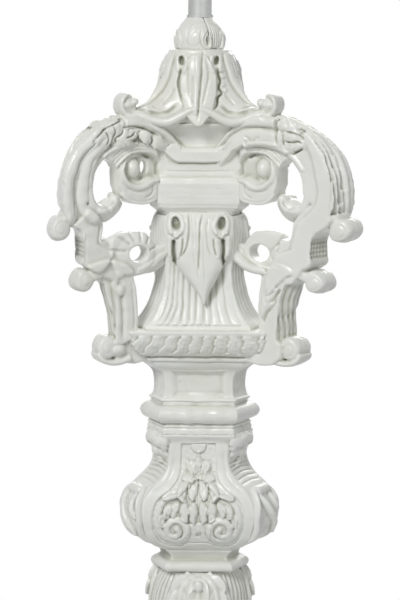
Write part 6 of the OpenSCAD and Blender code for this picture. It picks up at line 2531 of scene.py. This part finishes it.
class Finish(Enum):
    """Finishes of the fittings that keep their frame shape."""

    SATIN_STEEL = Metal("satin_steel", (0.50, 0.51, 0.50), (0.43, 0.44, 0.43), (0.42, 0.52), (12, 12, 0.4),
                        0.00005, 0.75)
    BRASS = Metal("brass", (0.78, 0.60, 0.30), (0.66, 0.49, 0.23), (0.24, 0.38))
    IRON = Metal("cast_iron", (0.13, 0.13, 0.135), (0.07, 0.07, 0.072), (0.55, 0.8), (1, 1, 1), 0.0006, 0.6)
    WIRE = Hard("white_enamel", (0.80, 0.80, 0.77), (0.74, 0.74, 0.70), (0.22, 0.32), 150, 0.00004, 0.3)
    PLASTIC = Hard("black_plastic", (0.030, 0.030, 0.031), (0.018, 0.018, 0.019), (0.34, 0.48), 400, 0.00006)
    PORCELAIN = Hard("porcelain", (0.80, 0.79, 0.75), (0.75, 0.74, 0.70), (0.10, 0.18), 90, 0.00003, 0.5)
    OPAL = Hard("opal_glass", (0.86, 0.86, 0.84), (0.82, 0.82, 0.80), (0.12, 0.2), 60, 0.00002, 0.4, 0.15)


FITTINGS = {
    Finish.SATIN_STEEL: ("stem_tube", "tube_flange", "tube_cap", "foot_screws", "cover_screws",
                         "threaded_rod", "rod_washer", "rod_nut", "lock_nut",
                         "gland_nut", "bulb_cap"),
    Finish.BRASS: ("holder_cap", "holder_shell", "centre_contact", "side_contacts", "bulb_contact"),
    Finish.IRON: ("ballast",),
    Finish.WIRE: ("shade_carrier", "shade_top_ring", "shade_bottom_ring"),
    Finish.PLASTIC: ("base_cover", "cord_gland", "terminal_block", "inner_lead", "shade_rings", "switch_key",
                     "glides"),
    Finish.PORCELAIN: ("holder_core",),
    Finish.OPAL: ("bulb_glass",),
}


def dress_fittings() -> None:
    """Gives each fitting that keeps its frame shape its finish."""
    for finish, nodes in FITTINGS.items():
        material = finish.value.make()
        for node in nodes:
            obj = bpy.data.objects[node]
            for slot in obj.material_slots:
                slot.material = material
            log.info("%s: %s", node, material.name)


def finish_piece(obj: Obj, *nodes: str, material: Mat | None = None, slot: str = PAINT) -> None:
    """Smooths the shading, gives the finish and puts the piece in its nodes' place.

    Args:
        obj: the piece.
        nodes: frame nodes that it replaces.
        material: its finish, or None for the white paint.
        slot: which finish it takes; only PAINT pieces are made uneven and get the "hollow" attribute.
    """
    if slot == PAINT:
        waver(obj)
        if "hollow" not in obj.data.attributes:
            hollows(obj)
    take(obj)
    bpy.ops.object.shade_smooth()
    obj.data.materials.clear()
    obj.data.materials.append(material or bpy.data.materials[PAINTED_WOOD])
    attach(obj, "lamp")
    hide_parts(*nodes)
    log.info("%s: %d faces", obj.name, len(obj.data.polygons))


# ---------------------------------------------------------------- studio


def camera(azimuth: float = 2.0, far: float = 1.716) -> Obj:
    """The photograph's camera.

    Args:
        azimuth: its angle round the lamp, in degrees.
        far: its distance from the axis, in metres.

    Returns:
        The camera.
    """
    cam = bpy.data.cameras.new("camera")
    cam.sensor_width = 36
    cam.lens = 109.08
    obj = bpy.data.objects.new("camera", cam)
    bpy.context.scene.collection.objects.link(obj)
    a = math.radians(azimuth)
    obj.location = (far * math.sin(a), -far * math.cos(a), 1.208)
    obj.rotation_euler = (math.radians(80.9), 0, a)
    bpy.context.scene.camera = obj
    return obj


def softbox(name: str, place: Triple, aim: Triple, size: float, watts: float) -> None:
    """Square soft light.

    Args:
        name: its name.
        place: where it stands.
        aim: what it looks at.
        size: its side, in metres.
        watts: its power.
    """
    light = bpy.data.lights.new(name, "AREA")
    light.shape, light.size, light.energy = "SQUARE", size, watts
    obj = bpy.data.objects.new(name, light)
    bpy.context.scene.collection.objects.link(obj)
    obj.location = place
    obj.rotation_euler = (Vector(aim) - Vector(place)).to_track_quat("-Z", "Y").to_euler()


def backdrop() -> None:
    """World that lights softly and shows white to the camera, to gloss and through glass."""
    world = bpy.data.worlds.new("studio")
    bpy.context.scene.world = world
    world.use_nodes = True
    tree = world.node_tree
    back, out = tree.nodes["Background"], tree.nodes["World Output"]
    back.inputs["Color"].default_value = (0.95, 0.97, 1.0, 1)
    back.inputs["Strength"].default_value = 0.26
    white = tree.nodes.new("ShaderNodeBackground")
    white.inputs["Color"].default_value = (1, 1, 1, 1)
    kinds = ("LightPath", "Math", "Math", "MixShader")
    path, first, second, mix = (tree.nodes.new("ShaderNode" + kind) for kind in kinds)
    first.operation = second.operation = "MAXIMUM"
    rays = path.outputs
    for start, end in (
        (rays["Is Camera Ray"], first.inputs[0]), (rays["Is Transmission Ray"], first.inputs[1]),
        (first.outputs[0], second.inputs[0]), (rays["Is Glossy Ray"], second.inputs[1]),
        (second.outputs[0], mix.inputs[0]), (back.outputs[0], mix.inputs[1]),
        (white.outputs[0], mix.inputs[2]), (mix.outputs[0], out.inputs["Surface"]),
    ):
        tree.links.new(start, end)


def studio() -> None:
    """Round pale floor, white background and soft light from the upper left."""
    bpy.context.scene.view_settings.view_transform = "Standard"
    backdrop()
    deselect()
    bpy.ops.mesh.primitive_circle_add(vertices=128, radius=1.72, fill_type="NGON")
    floor = bpy.context.object
    floor.name = "floor"
    n = Nodes("floor")
    n.join(n.ramp(n.noise(6, 3), [(0.3, (0.84, 0.84, 0.83)), (0.7, (0.88, 0.88, 0.87))]),
           n.shader.inputs["Base Color"])
    n.put(Roughness=0.7)
    far = n.add("ShaderNodeVectorMath", operation="LENGTH")
    n.join(n.coords(), far.inputs[0])
    rim = n.add("ShaderNodeMapRange", interpolation_type="SMOOTHSTEP", From_Min=0.75, From_Max=1.66,
                To_Min=0.0, To_Max=1.0)
    n.join(far.outputs["Value"], rim.inputs["Value"])
    fade, clear = n.add("ShaderNodeMixShader"), n.add("ShaderNodeBsdfTransparent")
    for out, into in ((rim.outputs["Result"], fade.inputs[0]), (n.shader.outputs[0], fade.inputs[1]),
                      (clear.outputs[0], fade.inputs[2]),
                      (fade.outputs[0], n.tree.nodes["Material Output"].inputs["Surface"])):
        n.join(out, into)
    floor.data.materials.append(n.material)
    softbox("key", (-1.1, -2.3, 2.7), (0, 0, 1.0), 1.0, 50)
    softbox("fill", (1.6, -2.2, 1.5), (0, 0, 0.9), 1.6, 9)
    softbox("back", (0.4, 2.2, 2.2), (0, 0, 1.0), 1.6, 26)


def main() -> None:
    """Builds the lamp's looks."""
    logging.basicConfig(level=logging.INFO, format="%(message)s")
    camera()
    studio()
    PaintedWood().make()
    for piece in (Capital(), Calyx(), Crown(), Abacus(), Core(), HangingLeaves(), Cornice(), Waist(),
                  Collar(), LowerRing(), Bulb(), Base(), Foot()):
        piece.build()
    for group in (Arm(), Volute(), Vase(), Stem()):
        group.dress()
    Shade().build(Linen().make())
    dress_fittings()


if __name__ == "__main__":
    main()
